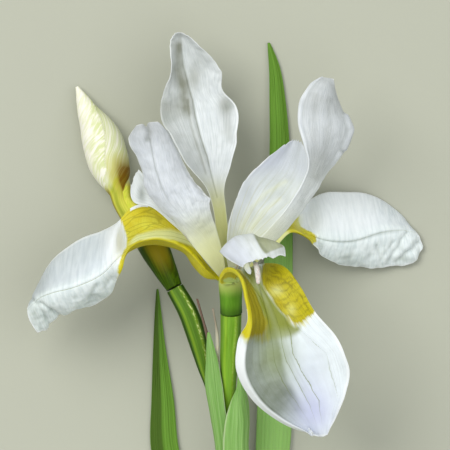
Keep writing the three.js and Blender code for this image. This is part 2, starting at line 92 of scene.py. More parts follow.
def surface_of(stations, u, v, end):
    """A blade's middle surface: curves run along its three rails, and an arc runs across them."""
    left, rib, right = (catmull([row[k] for row in stations], u * end) for k in range(3))
    to_rib = np.linalg.norm(rib - left, axis=-1)
    share = to_rib / (to_rib + np.linalg.norm(right - rib, axis=-1))
    w = np.where(v < 0, share * (1 + v), share + (1 - share) * v)
    weights = (
        (w - share) * (w - 1) / share,
        w * (w - 1) / (share * (share - 1)),
        w * (w - share) / (1 - share),
    )
    return sum(weight[..., None] * rail for weight, rail in zip(weights, (left, rib, right)))


def normals_of(grid):
    return unit(np.cross(np.gradient(grid, axis=1), np.gradient(grid, axis=0)))


def noise_at(points, scale):
    """Smooth noise, from about -1 to 1, at points in millimetres."""
    flat = (points.reshape(-1, 3) * scale).tolist()
    return np.array([noise.noise(p) for p in flat]).reshape(points.shape[:-1])


def noise_over(across, along, layer=0.0):
    """Smooth noise on a blade's own grid. Each layer has a pattern of its own."""
    return noise_at(np.stack([across, along, 0 * across + layer], axis=-1), 1)


def ramp(low, high, x):
    """0 at low and 1 at high, with a smooth rise between and no change beyond. Low may be the larger."""
    t = np.clip((x - low) / (high - low), 0, 1)
    return t * t * (3 - 2 * t)


def bell(x, centre, width):
    """A smooth peak, 1 high, at the centre."""
    return np.exp(-(((x - centre) / width) ** 2))


def mound(place, x, y, size_x, size_y):
    """A round bump, 1 high, as seen from above."""
    return bell(place[..., 0], x, size_x) * bell(place[..., 1], y, size_y)


def mounds(place, bumps):
    """Round bumps, added up, each given as (height, x, y, size_x, size_y)."""
    return sum(height * mound(place, *where) for height, *where in bumps)


def far_from(place, line):
    """How far places lie from a line of points, as seen from above."""
    x, y = place[..., 0], place[..., 1]
    nearest = np.full(x.shape, 1e9)
    for (ax, ay), (bx, by) in zip(line, line[1:]):
        dx, dy = bx - ax, by - ay
        t = np.clip(((x - ax) * dx + (y - ay) * dy) / (dx * dx + dy * dy), 0, 1)
        nearest = np.minimum(nearest, np.hypot(x - ax - t * dx, y - ay - t * dy))
    return nearest


def groove(place, line, width):
    """A groove, 1 deep, along a line of points."""
    return bell(far_from(place, line), 0, width)


def grooves(place, cuts):
    """Grooves, added up, each given as (depth, line, width)."""
    return sum(depth * groove(place, line, width) for depth, line, width in cuts)


def depth_in(place, outline):
    """How deep places lie inside a smooth closed outline, seen from above, and minus how far outside."""
    ring = catmull(np.array(outline + outline[:1]), np.linspace(0, 1, 8 * len(outline) + 1))
    x, y = place[..., 0], place[..., 1]
    inside = np.zeros(x.shape, bool)
    for (ax, ay), (bx, by) in zip(ring, ring[1:]):
        if ay != by:
            inside ^= ((ay > y) != (by > y)) & (x < ax + (y - ay) * (bx - ax) / (by - ay))
    distance = far_from(place, ring)
    return np.where(inside, distance, -distance)


def at_across(line, x):
    """How high a line that runs across the picture is at each x."""
    line = sorted(line)
    return np.interp(x, [point[0] for point in line], [point[1] for point in line])


def at_height(line, y):
    """How far across the picture a line that runs down it is at each height y."""
    return at_across([point[::-1] for point in line], y)


def around_axis(azimuth, ring):
    """A point round the flower's axis, just above the tube: azimuth 0 is to the right and 90 is up."""
    angle = math.radians(azimuth)
    return TUBE_TOP + ring * (ACROSS * math.cos(angle) + UP * math.sin(angle)) + SEAT_GAP * ALONG


def foot(azimuth, ring, width, turn):
    """The foot of a petal, as [left margin, rib, right margin]."""
    angle = math.radians(azimuth)
    half = (UP * math.cos(angle) - ACROSS * math.sin(angle)) * turn * width / 2
    rib = around_axis(azimuth, ring)
    return [rib + half, rib, rib - half]


# Meshes


def new_piece(name, points, faces, uvs, paints, material, nodes):
    """A mesh from points in millimetres from the heart, riding on the part in place of its nodes."""
    mesh = bpy.data.meshes.new(name)
    mesh.from_pydata(((points + HEART) * MM).tolist(), [], faces)
    layer = mesh.uv_layers.new(name="UVMap")
    loop_points = np.empty(len(mesh.loops), int)
    mesh.loops.foreach_get("vertex_index", loop_points)
    layer.data.foreach_set("uv", uvs[loop_points].ravel())
    for paint, values in paints.items():
        attribute = mesh.attributes.new(paint, "FLOAT", "POINT")
        attribute.data.foreach_set("value", values.astype(np.float32))
    mesh.polygons.foreach_set("use_smooth", [True] * len(mesh.polygons))
    mesh.materials.append(material)
    piece = bpy.data.objects.new(name, mesh)
    bpy.context.scene.collection.objects.link(piece)
    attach(piece, "root")
    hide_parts(*nodes)


def smoothed(values, reach):
    """Values of a grid, each averaged with its neighbours up to reach cells away."""
    padded = np.pad(values, reach, mode="edge")
    width = 2 * reach + 1
    sums = np.cumsum(np.cumsum(np.pad(padded, ((1, 0), (1, 0))), axis=0), axis=1)
    inside = sums[width:, width:] - sums[:-width, width:] - sums[width:, :-width] + sums[:-width, :-width]
    return inside / width**2


def margin(u, v):
    """1 along a blade's edges, where light shines through, and 0 inside."""
    return np.maximum(ramp(0.94, 0.99, np.abs(v)), ramp(0.985, 1, u))


MARGIN_WAVES = 19  # how quickly a margin wavers along a blade
MARGIN_THICK, TIP_THICK = 0.25, 0.3  # how thick the margins and the tip are, as shares of the middle
MARGIN_POWER, TIP_POWER = 8, 24  # how near the edge a blade keeps its thickness
RELIEF_REACH = 5  # over how many cells round a place its relief is measured
FULL_RELIEF = 0.25  # millimetres off its surroundings at which a place takes its full tint, full painted shade in a hollow


def blade(
    name, stations, grid, thick, material, slot,
    end=None, lift=None, bead=None, paint=None, node=None, waver=0.0,
):
    """A thin closed blade through stations, from foot to tip, each [left margin, rib, right margin]. It takes
    the place of the node of its name or, if given, of another. u runs along it from 0 to 1, and v across it
    from -1 on the left margin over 0 on the rib to 1 on the right margin. end(v) shortens its tip,
    lift(u, v, place) raises it towards the camera, bead(u, v) thickens it, and paint(u, v, place) gives the
    amounts of each tint on its upper and its under side. waver is how far its margins waver, as a share of
    half its width."""
    rows, columns = grid
    u, v = np.meshgrid(np.linspace(0, 1, rows + 1), np.linspace(-1, 1, columns + 1), indexing="ij")
    swing = noise_over(u * MARGIN_WAVES, 2.5 * np.sign(v), len(name))
    wavered = v * (1 + waver * swing * v**4 * ramp(0.2, 0.4, u))
    middle = surface_of(stations, u, wavered, end(v) if end else np.ones_like(v))
    outer_half = normals_of(middle)[rows // 2 :]
    facing = 1 if outer_half[..., 2].mean() > 0 else -1
    raised = lift(u, v, middle) if lift else np.zeros_like(u)
    lifted = middle + facing * normals_of(middle) * raised[..., None]
    normal = facing * normals_of(lifted)
    half = thick / 2 * (MARGIN_THICK + (1 - MARGIN_THICK) * np.sqrt(1 - np.abs(v) ** MARGIN_POWER))
    half *= TIP_THICK + (1 - TIP_THICK) * np.sqrt(1 - u**TIP_POWER)
    if bead:
        half = half + bead(u, v)
    sides = [lifted + normal * half[..., None], lifted - normal * half[..., None]]
    points = np.concatenate([side.reshape(-1, 3) for side in sides])
    upper, under = np.arange(2 * (rows + 1) * (columns + 1)).reshape(2, rows + 1, columns + 1)

    def quads(a, b, c, d):
        return np.stack([part.ravel() for part in (a, b, c, d)], axis=1)

    faces = np.concatenate([
        quads(upper[:-1, :-1], upper[:-1, 1:], upper[1:, 1:], upper[1:, :-1]),
        quads(under[:-1, :-1], under[1:, :-1], under[1:, 1:], under[:-1, 1:]),
        quads(upper[:-1, 0], upper[1:, 0], under[1:, 0], under[:-1, 0]),
        quads(upper[1:, -1], upper[:-1, -1], under[:-1, -1], under[1:, -1]),
        quads(upper[0, 1:], upper[0, :-1], under[0, :-1], under[0, 1:]),
        quads(upper[-1, :-1], upper[-1, 1:], under[-1, 1:], under[-1, :-1]),
    ])
    if facing < 0:
        faces = faces[:, ::-1]
    uvs = np.tile(np.stack([v.ravel() / 2 + 0.5, u.ravel()], axis=1), (2, 1))
    # Painted shade: the material darkens the hollows of each side by their relief.
    relief = np.clip((raised - smoothed(raised, RELIEF_REACH)) / FULL_RELIEF, -1, 1)
    # Painted light: the margins are brighter, unevenly along them, where light shines through.
    edge = margin(u, v) * (0.5 + 0.4 * np.sin(11 * u + 2 * v))
    tints = {"relief": (relief, -relief), "bright": (edge, edge)} | (paint(u, v, middle) if paint else {})
    paints = {}
    for tint, both_sides in tints.items():
        paints[tint] = np.concatenate([(amount + 0 * u).ravel() for amount in both_sides])
    new_piece(name, points, faces.tolist(), uvs, paints, material, [node or name])


CAP_SHARES = (0.3, 0.6, 0.85, 0.97)  # rings on a rod's flat ends, as shares of its radius


def rod(name, line, radius, grid, material, up=(0, 0, 1), paint=None):
    """A closed rod along a curve. radius(s, angle) is its radius at share s of its length, and
    paint(s, angle, place, share) gives the amounts of each tint, share being 1 on its side and less on its
    flat ends."""
    rings, sides = grid
    cap = np.zeros(len(CAP_SHARES))
    s_of_ring = np.concatenate([cap, np.linspace(0, 1, rings + 1), cap + 1])
    shares = np.concatenate([CAP_SHARES, np.ones(rings + 1), CAP_SHARES[::-1]])
    s, angle = np.meshgrid(s_of_ring, (np.arange(sides) + 0.5) / sides * 2 * math.pi, indexing="ij")
    centre = catmull(line, s_of_ring)
    tangent = unit(catmull(line, s_of_ring + 1e-3) - catmull(line, s_of_ring - 1e-3))
    side = unit(np.cross(tangent, np.asarray(up, float)))
    top = np.cross(side, tangent)
    out = side[:, None] * np.cos(angle)[..., None] + top[:, None] * np.sin(angle)[..., None]
    share = shares[:, None] + 0 * s
    places = centre[:, None] + out * (radius(s, angle) * share)[..., None]
    count = len(s_of_ring)
    ids = np.arange(count * sides).reshape(count, sides)
    along = np.roll(ids, -1, axis=1)
    faces = np.stack([ids[:-1], ids[1:], along[1:], along[:-1]], axis=-1).reshape(-1, 4).tolist()
    faces += [ids[0].tolist(), ids[-1][::-1].tolist()]
    uvs = np.stack([angle.ravel() / (2 * math.pi), s.ravel()], axis=1)
    tints = paint(s, angle, places, share) if paint else {}
    paints = {key: (value + 0 * s).ravel() for key, value in tints.items()}
    new_piece(name, places.reshape(-1, 3), faces, uvs, paints, material, [name])


def profile(knots):
    """A smooth profile through the knots, evenly spaced along a rod."""
    line = np.array([[0, k, 0] for k in knots], float)
    return lambda s: catmull(line, s)[..., 1]


# Materials


def colour(code):
    """A colour code such as f1f1f4 as the linear colour that Blender takes."""
    channels = [int(code[i : i + 2], 16) / 255 for i in (0, 2, 4)]
    return [c / 12.92 if c <= 0.04045 else ((c + 0.055) / 1.055) ** 2.4 for c in channels] + [1.0]


NET_LINE = 0.08  # how far the lines of a net fade, as a share of its cells


class Value:
    """What a material works out at each place. A sum, difference or product of it is one more node."""

    def __init__(self, shader, socket):
        self.shader = shader
        self.socket = socket

    def __add__(self, other):
        return self.shader.maths("ADD", self, other)

    def __sub__(self, other):
        return self.shader.maths("SUBTRACT", self, other)

    def __mul__(self, other):
        return self.shader.maths("MULTIPLY", self, other)

    def spread(self, low, high, to_low=0.0, to_high=1.0):
        """to_low where this is low and to_high where it is high, in proportion between them."""
        return self.shader.node("MapRange", 0, {0: self, 1: low, 2: high, 3: to_low, 4: to_high})


class Shader:
    """One material. Each method adds nodes and gives the value that comes out."""

    def __init__(self, name, **settings):
        self.material = bpy.data.materials.new(name)
        self.material.use_nodes = True
        self.surface = self.material.node_tree.nodes["Principled BSDF"]
        for socket, value in settings.items():
            self.surface.inputs[socket.replace("_", " ")].default_value = value

    def plug(self, socket, value):
        """Feeds a socket with a value, a number, or the colour of a code."""
        if isinstance(value, Value):
            self.material.node_tree.links.new(value.socket, socket)
        else:
            socket.default_value = colour(value) if isinstance(value, str) else value

    def node(self, kind, output, inputs, **settings):
        made = self.material.node_tree.nodes.new("ShaderNode" + kind)
        for setting, choice in settings.items():
            setattr(made, setting, choice)
        for socket, value in inputs.items():
            self.plug(made.inputs[socket], value)
        return Value(self, made.outputs[output])

    def attribute(self, name):
        return self.node("Attribute", "Fac", {}, attribute_name=name)

    def uv(self):
        where = self.node("TexCoord", "UV", {})
        return [self.node("SeparateXYZ", axis, {0: where}) for axis in "XY"]

    def noise(self, scale, detail):
        where = self.node("TexCoord", "Object", {})
        return self.node("TexNoise", "Fac", {"Vector": where, "Scale": scale, "Detail": detail})

    def streaks(self, across, along, detail, distortion, layer=0.0):
        """Noise that is drawn out by what across and along are multiplied with."""
        where = self.node("CombineXYZ", 0, {0: across, 1: along, 2: layer})
        inputs = {"Vector": where, "Scale": 1.0, "Detail": detail, "Distortion": distortion}
        return self.node("TexNoise", "Fac", inputs)

    def net(self, across, along, layer):
        """1 on the lines of a net of random cells, fading to 0 beside them."""
        where = self.node("CombineXYZ", 0, {0: across, 1: along, 2: layer})
        cells = {"Vector": where, "Scale": 1.0}
        away = self.node("TexVoronoi", "Distance", cells, feature="DISTANCE_TO_EDGE")
        return away.spread(0.0, NET_LINE, 1.0, 0.0)

    def maths(self, operation, a, b=0.0):
        return self.node("Math", 0, {0: a, 1: b}, operation=operation)

    def mix(self, factor, a, b):
        return self.node("Mix", 2, {"Factor": factor, 6: a, 7: b}, data_type="RGBA")

    def tinted(self, base, **tints):
        """The base with each tint over it, as strong as the attribute of its name says."""
        for name, tint in tints.items():
            base = self.mix(self.attribute(name), base, tint)
        return base

    def lines(self, phase, width):
        """Lines of 1, width wide, wherever the phase passes a whole number, fading to 0 beside them."""
        wave = self.maths("ABSOLUTE", self.maths("SINE", phase * math.pi))
        return wave.spread(0.0, width, 1.0, 0.0)

    def finish(self, base, roughness, height, distance, strength):
        """The material, with bumps of a height, which are given a distance in metres and a strength."""
        normal = self.node("Bump", 0, {"Height": height, "Distance": distance, "Strength": strength})
        for socket, value in (("Base Color", base), ("Roughness", roughness), ("Normal", normal)):
            self.plug(self.surface.inputs[socket], value)
        return self.material


def petal_material(
    name, white, shade, streak_strength, streak_shape,
    vein_width, vein_code="8d9a78", grey_code="5f6949", signal=False,
):
    """White petal tissue. fan and run are how far across and along its streaks a place lies; warm and lilac
    tint it, grey is painted shade, relief paints shade into its hollows, bright is painted light, and vein is
    how strongly veins show, on the whole numbers of branch. A signal patch is yellow where signal, a depth in
    millimetres, is over zero; mustard, lemon, khaki, pale and green tint it, and net and cross are how
    strongly its fine net and its cross veins show."""
    shader = Shader(
        name, Subsurface_Weight=0.3, Subsurface_Scale=0.0012, Subsurface_Radius=(1.0, 0.97, 0.9),
        Specular_IOR_Level=0.2,
    )
    fan, run = shader.attribute("fan"), shader.attribute("run")
    soft = shader.noise(170, 4)
    wander = (soft - 0.5) * 0.5
    streak = shader.streaks(fan * streak_shape[0], run * streak_shape[1], 5, 0.4, wander)
    base = shader.mix(streak.spread(0.40, 0.66, 0.0, streak_strength), white, shade)
    base = shader.mix(shader.noise(95, 2).spread(0.45, 0.7, 0.0, 0.22), base, shade)
    # Painted shade, as strong as grey says, in the colour of grey_code.
    base = shader.mix(shader.attribute("grey") * soft.spread(0.25, 0.75, 0.75, 1.0), base, grey_code)
    base = shader.tinted(base, lilac="c2c6e4", warm="dcdd94")
    # Painted shade in the hollows, where relief is below zero.
    base = shader.mix(shader.attribute("relief").spread(0.1, -1.0, 0.0, 0.30), base, "8f978f")
    # Painted light, as strong as bright says.
    base = shader.mix(shader.attribute("bright") * 0.85, base, "fafeff")
    vein = shader.attribute("vein") * shader.lines(shader.attribute("branch") + wander * 0.8, vein_width)
    if signal:
        yellow = shader.mix(soft.spread(0.35, 0.65), "dcd84c", "d4c52c")
        yellow = shader.tinted(yellow, mustard="8a7c00", lemon="c6bd00")
        yellow = shader.mix(shader.net(fan * 7, run * 9, wander) * shader.attribute("net"), yellow, "857a18")
        yellow = shader.tinted(yellow, cross="6f6a12")
        depth = shader.attribute("signal") + wander * 2.4 + (streak - 0.5) * 1.2
        base = shader.mix(depth.spread(-0.35, 0.35), base, yellow)
        base = shader.tinted(base, khaki="80882c", pale="dfe5a8", green="cde08c")
    base = shader.mix(vein, base, vein_code)
    grain = shader.noise(2600, 2)
    height = streak * 0.8 + grain * 0.4 + vein * -0.4
    return shader.finish(base, grain.spread(0.3, 0.7, 0.42, 0.6), height, 0.00025, 0.65)


def green_material(name, dark, light, ribs, gloss, streak_pull, edge="c9d7a0", deep="2c4a10"):
    """Green tissue with ribs along it. Its tints: pale, shade, yellow, and speck for rows of pale specks."""
    shader = Shader(
        name, Subsurface_Weight=0.12, Subsurface_Scale=0.001, Subsurface_Radius=(0.5, 1.0, 0.2),
        Specular_IOR_Level=0.12,
    )
    across, along = shader.uv()
    rib = shader.lines(across * ribs + shader.noise(60, 2) * 0.5, 0.5)
    streak = shader.streaks(across * (ribs * 2.2), along * streak_pull, 3, 0.3)
    base = shader.mix(streak.spread(0.3, 0.7), dark, light)
    base = shader.mix(rib * 0.3, base, dark)
    # shade paints shade, in the deep colour.
    base = shader.tinted(base, shade=deep, yellow="b9cf3c")
    speck = shader.streaks(across * 26, along * 34, 2, 0.6).spread(0.48, 0.66)
    base = shader.mix(speck * shader.attribute("speck"), base, "dfe9a0")
    base = shader.tinted(base, pale=edge)
    height = rib * -0.5 + streak * 0.5 + shader.noise(2200, 1) * 0.15
    return shader.finish(base, streak.spread(0.3, 0.7, gloss, gloss + 0.12), height, 0.0002, 0.45)


def bud_material():
    """The bud's furled petals. Its tints: shade, which is painted shade, yellow, ochre, green, and glow,
    which is painted light. fan crosses each petal's streaks, and near_edge is how strongly they show."""
    shader = Shader(
        "bud_petal", Subsurface_Weight=0.2, Subsurface_Scale=0.001, Subsurface_Radius=(1.0, 1.0, 0.6),
        Specular_IOR_Level=0.12,
    )
    streak = shader.streaks(shader.attribute("fan") * 26, shader.attribute("run") * 1.6, 3, 0.4)
    streaked = streak.spread(0.4, 0.6)
    base = shader.mix(streak.spread(0.42, 0.60, 0.0, 0.45), "f6f3e6", "d9e0aa")
    base = shader.mix(streak.spread(0.40, 0.58) * shader.attribute("near_edge"), base, "cdd78c")
    # shade paints shade.
    base = shader.tinted(base, shade="a8b27a", yellow=shader.mix(streaked, "d6de48", "e8e55e"))
    base = shader.mix(shader.attribute("ochre") * streak.spread(0.3, 0.55, 0.82, 1.0), base, "704a00")
    # glow paints light, yellow-olive.
    base = shader.tinted(base, green=shader.mix(streaked, "2a4400", "466400"), glow="b7a222")
    height = streak + shader.noise(2400, 1) * 0.2
    return shader.finish(base, streak.spread(0.3, 0.7, 0.42, 0.55), height, 0.0002, 0.5)


def anther_material():
    shader = Shader("anther", Subsurface_Weight=0.2, Subsurface_Scale=0.001)
    grain = shader.noise(3000, 3)
    return shader.finish(shader.mix(grain.spread(0.35, 0.65), "dfdcd5", "c6beb6"), 0.8, grain, 0.00015, 0.8)


def bract_material():
    shader = Shader("dry_bract", Subsurface_Weight=0.1, Subsurface_Scale=0.001)
    across, along = shader.uv()
    streak = shader.streaks(across * 14, along * 3, 3, 0.4)
    base = shader.tinted(shader.mix(streak.spread(0.35, 0.65), "5f463c", "8f7666"), pale="e9e2cc")
    return shader.finish(base, 0.8, streak, 0.0003, 0.6)


def floor_material():
    shader = Shader("floor")
    base = shader.mix(shader.noise(3, 2).spread(0.3, 0.7), "aeb0a0", "b6b8a8")
    return shader.finish(base, 0.75, shader.noise(900, 2), 0.0001, 0.2)


FALL = petal_material("fall_petal", "f2fcff", "d9e0e2", 0.5, (3, 5), 0.13, "78843e", signal=True)
SIDE_FALL = petal_material("side_fall_petal", "eff8f8", "c8d5d6", 0.6, (90, 2.2), 0.3, "8f9b4a", signal=True)
STANDARD = petal_material("standard_petal", "e4e9e9", "c2c9ca", 0.6, (30, 5), 0.2, grey_code="63643e")
STYLE = petal_material("style_petal", "e5ebeb", "cfd5cd", 0.6, (12, 2.4), 0.3, "c9c794")
STALK = green_material("stalk_green", "70a024", "98c945", 6, 0.36, 2.0, deep="2a4a04")
TUBE = green_material("tube_green", "588a1e", "74a632", 5, 0.35, 1.5, "c6cf78")
LEAF = green_material("leaf_green", "406c16", "72a33e", 12, 0.40, 1.2, "9fce76")
SPATHE = green_material("spathe_green", "6a9c4a", "9bc679", 8, 0.42, 1.5, "dbe6bf", "5c8048")
BUD = bud_material()
ANTHER = anther_material()
BRACT = bract_material()


# Petals


PETAL_THICK = 0.42
# For each kind: the ring round the flower's axis where its feet stand, a foot's width, and the mesh's grid.
PETAL_KINDS = {
    "fall": (3.1, 1.8, (220, 96)),
    "standard": (2.6, 1.8, (190, 76)),
    "style": (1.1, 1.4, (130, 84)),
}
FRONT, LEFT, RIGHT = 60, 195, -35  # azimuths of the falls, with a style arm and a stamen over each
BACK_GAP, LEFT_GAP, RIGHT_GAP = 260, 128, 15  # azimuths of the standards, between the falls


def petal(name, azimuth, turn, rows, material, **form):
    """A petal or style arm, from its foot through its rows. turn is -1 where its foot is turned over."""
    kind = name.split("_")[0]
    ring, width, grid = PETAL_KINDS[kind]
    blade(name, [foot(azimuth, ring, width, turn)] + rows, grid, PETAL_THICK, material, kind, **form)


# Falls: the three outer petals


DEEP = 6.0  # millimetres into a signal patch, or out of it, past which it makes no difference


def streaks(fan, run):
    """The tints that say which way a petal's streaks run, alike on both of its sides."""
    return {"fan": (fan, fan), "run": (run, run)}


def add_side_fall(name, azimuth, turn, rows, haft_end, crease, folds, paint):
    """A side fall, with a rounded rim along the near margin of its haft, which ends at a share of its length.
    Its blade has faint striations, soft dents on the near half, which hangs, a crease and folds."""

    def bead(u, v):
        return 0.45 * bell(v, 0.97, 0.06) * ramp(haft_end, haft_end - 0.1, u)

    def lift(u, v, place):
        on_blade = ramp(haft_end, haft_end + 0.08, u)
        slant = u + 0.02 * np.abs(v)
        near = ramp(0.1, 0.7, v) * on_blade
        pleats = 0.15 * noise_over(slant * 34, v * 1.2, 3.7)
        dents = 0.85 * noise_at(place, 0.19) + 0.28 * noise_at(place, 0.5)
        frill = 0.45 * noise_over(u * 30, v, 6.1) * ramp(0.7, 1, v)
        striae = 0.05 * noise_over(slant * 80, v * 0.8)
        swell = 0.3 * noise_at(place, 0.09)
        return near * (pleats + dents + frill) + (striae + swell + crease(u, v)) * on_blade + folds(place)

    petal(name, azimuth, turn, rows, SIDE_FALL, lift=lift, bead=bead, paint=paint, waver=0.025)


def mottled_shade(v, place):
    """Painted shade in grey patches on the near half of a side fall, which hangs."""
    return 0.28 * np.clip(noise_at(place, 0.42) + 0.4 * noise_at(place, 0.9), 0, 1) * ramp(0.1, 0.4, v)


# The left fall: where its yellow ends, and the two lines between which its channel is pale.
LEFT_SIGNAL_END = [(-32.2, 14.9), (-31.1, 10.9), (-30.4, 8.7), (-30.7, 6.5), (-31.4, 5), (-32.9, 0)]
LEFT_CHANNEL_TOP = [(-30.4, 7.2), (-27.4, 9.8), (-21.7, 11.4), (-17.3, 11.6), (-12.9, 10.4), (-9, 8)]
LEFT_CHANNEL_FOOT = [(-30.5, 6.1), (-26.5, 8.2), (-21.7, 8.7), (-16.4, 8.2), (-11.1, 6.5), (-8, 4.5)]


def add_fall_left():
    rows = [
        [[-6.3, 1.2, -4.5], [-6.6, -2.9, -1.2], [-6.4, -0.4, 2.6]],
        [[-10.5, 7.2, -7], [-10.2, 0.4, -2.2], [-9.2, 2.8, 4]],
        [[-14.1, 12, -8], [-13.4, 5, -3], [-12.4, 6, 5]],
        [[-18.6, 16.5, -8], [-18.3, 7.2, -3], [-18, 8.6, 7]],
        [[-23.7, 19.2, -8], [-24, 7.6, -2], [-24, 8.9, 8]],
        [[-29.1, 18.2, -7], [-29.1, 5.6, 0.5], [-29.4, 6, 7.5]],
        [[-33.6, 13.4, -6.5], [-33.2, 2.6, 3], [-32.2, -1.2, 2.5]],
        [[-38.4, 11, -7], [-38.1, -2.1, 4], [-36.3, -8.4, -5]],
        [[-46.2, 7.7, -8], [-45.9, -5.7, 2], [-45, -12.8, -9]],
        [[-53.1, 2.1, -10], [-52.8, -7.5, -1], [-51.6, -15.3, -10]],
        [[-57, -4.8, -11], [-57.2, -9.4, -4], [-55.2, -18.4, -10]],
        [[-59.1, -9.6, -10], [-60.4, -12.6, -7], [-57.4, -19.4, -8.5]],
    ]
    tip_fold = [(-56.6, -10.4), (-53.5, -12.4), (-50.2, -14.9)]
    corner_fold = [(-58.6, -9.4), (-55.4, -13.8), (-53.4, -17.4)]
    hem_fold = [(-41.5, -8.8), (-39.6, -5.4)]

    def crease(u, v):
        return 0.12 * bell(v, -0.06, 0.05) - 0.16 * bell(v, 0, 0.02)

    def folds(place):
        return -grooves(place, [(0.8, tip_fold, 0.7), (0.5, hem_fold, 0.8), (0.5, corner_fold, 0.6)])

    def paint(u, v, place):
        x, y = place[..., 0], place[..., 1]
        signal = np.clip(x - at_height(LEFT_SIGNAL_END, y), -DEEP, DEEP)
        white_strip = (v < -0.95) & (x > -29.5) & (x < -24)
        signal = np.where(white_strip, -1, signal)
        top, foot_line = at_across(LEFT_CHANNEL_TOP, x), at_across(LEFT_CHANNEL_FOOT, x)
        in_channel = (y - foot_line) / (top - foot_line)
        channel = ramp(-0.1, 0.15, in_channel) * ramp(1.25, 0.7, in_channel) * ramp(-31, -28, x)
        on_blade = ramp(0.5, -0.5, signal)
        midrib = bell(v, 0, 0.012) * on_blade
        slant = u + 0.02 * np.abs(v)
        # Painted shade: grey and lilac over the far half, more grey towards the tip, a little on the near
        # half, and grey patches there.
        far = ramp(0, -0.3, v) * on_blade
        shadow = far * (0.24 + 0.08 * ramp(-38, -50, x)) + 0.06 * (v > 0) * on_blade
        shadow = shadow + 0.22 * ramp(-51, -57, x) + mottled_shade(v, place) * on_blade
        gold = mound(place, -28.5, 9.5, 2.2, 4.5)
        # Painted light on the flank beside the yellow, which turns from the light.
        lit_flank = mound(place, -33.2, 8, 3.4, 8) * on_blade
        return streaks(slant, v) | {
            "signal": (signal, np.where(x > -33.2, DEEP, -DEEP)),
            "pale": (0.85 * channel, 0),
            # On the under side the yellow is darkened to mustard, painted shade on the outer wall of the rim.
            "mustard": (np.maximum(0.25 * gold, 0.3 * ramp(0.86, 0.95, v)), 0.34 + 0.16 * ramp(-14, -20, x)),
            "lemon": (0.8 * ramp(0.8, 0.92, v) + 0.5 * ramp(-20, -12, x), 0.35),
            "khaki": (0.7 * midrib, 0.5 * midrib),
            "branch": (in_channel * 2.6, 0),
            "vein": (0.55 * channel, 0),
            "grey": (shadow, 0.2),
            "lilac": (0.22 * far, 0.1),
            "bright": (np.maximum(margin(u, v), lit_flank), margin(u, v)),
            "net": (0.45 * (1 - channel), 0.2),
        }

    add_side_fall("fall_left", LEFT, 1, rows, 0.5, crease, folds, paint)


# The right fall: where its yellow ends.
RIGHT_SIGNAL_END = [(21.6, 17.6), (21.3, 14), (21.8, 12.4), (23.8, 11), (26.4, 9.4), (26.4, 7.8), (24.6, 6.6)]


def add_fall_right():
    rows = [
        [[6.6, 5.4, -6], [6, 2.4, -4.6], [6.9, 0.6, -1.8]],
        [[11.6, 11.4, -12], [12.6, 7.4, -10], [13.5, 6.2, -5]],
        [[17.7, 16.2, -18], [18.6, 11.5, -15], [19, 11.2, -9]],
        [[21.9, 18.4, -22], [23.1, 10.5, -17.5], [24.6, 8.6, -12.5]],
        [[28.2, 22.2, -26], [29.1, 8.7, -19], [28.3, 3.6, -20]],
        [[37.2, 23.1, -30], [37.2, 8.4, -21.5], [36.6, 0.4, -27.5]],
        [[45.8, 21, -32.8], [46.4, 11, -25], [47.3, 0, -31]],
        [[52.6, 16.1, -33.5], [53.5, 11.5, -29], [56, 1.7, -32]],
        [[55.3, 12.1, -33.6], [57.5, 10.3, -32], [59.3, 6.4, -32.4]],
    ]
    tip_fold = [(54.4, 10.9), (52.5, 8.6), (51.6, 6.2), (49.7, 3.9), (47.9, 1.1)]
    second_fold = [(57.6, 7.6), (56.3, 5.8), (53.9, 4.4), (50.7, 1.6)]
    third_fold = [(45, 6.6), (45.6, 4), (46.6, 1.1)]
    fourth_fold = [(50.4, 8), (48.4, 5.4), (45.6, 1.4)]
    tip_lobe = [(56.4, 8.6), (53.8, 6)]

    def crease(u, v):
        lap = ramp(0.92, 0.8, u)
        upper = 0.55 * bell(v, -0.02, 0.2) * (v < -0.02)
        brink = 0.55 * ramp(0.05, -0.02, v) * (v >= -0.02)
        return (upper + brink) * lap - 0.15 * bell(v, 0.08, 0.06) * lap

    def folds(place):
        return grooves(place, [
            (-0.6, tip_fold, 0.7), (-0.5, second_fold, 0.7), (-0.35, third_fold, 0.5),
            (-0.3, fourth_fold, 0.5), (0.3, tip_lobe, 0.9),
        ])

    def paint(u, v, place):
        x, y = place[..., 0], place[..., 1]
        signal = np.clip(at_height(RIGHT_SIGNAL_END, y) - x, -DEEP, DEEP)
        on_blade = ramp(0.5, -0.5, signal)
        under_claws = ramp(19, 17.4, x)
        slant = u + 0.02 * np.abs(v)
        far = ramp(0, -0.3, v) * on_blade
        rib_line = bell(v, 0.015, 0.009) * on_blade
        # Painted shade: grey in the hollows, a little on the near half, and grey patches there.
        hollow = mounds(place, [
            (0.35, 35.4, 3, 3.5, 1.8), (0.25, 27.4, 6.2, 1.6, 2), (0.35, 53.2, 2.6, 2.4, 1.2),
        ])
        shadow = 0.03 * (v > 0) * on_blade + hollow + mottled_shade(v, place) * on_blade
        return streaks(slant, v) | {
            "signal": (signal, np.where(x < 26.5, DEEP, -DEEP)),
            "pale": (0.55 * mound(place, 21.2, 13.6, 1.2, 2.4) + 0.8 * under_claws, 0.8 * under_claws),
            "mustard": (0, 0.3 * (1 - under_claws)),
            "lemon": (0.15, 0.3),
            "khaki": (0.38 * rib_line, 0),
            "net": (0.3, 0.2),
            "grey": (shadow, 0.2),
            "lilac": (0.14 * far, 0.1),
            # Painted light over the far half, short of the tip.
            "bright": (np.maximum(margin(u, v), 0.5 * far * ramp(50, 40, x)), margin(u, v)),
        }

    add_side_fall("fall_right", RIGHT, -1, rows, 0.42, crease, folds, paint)


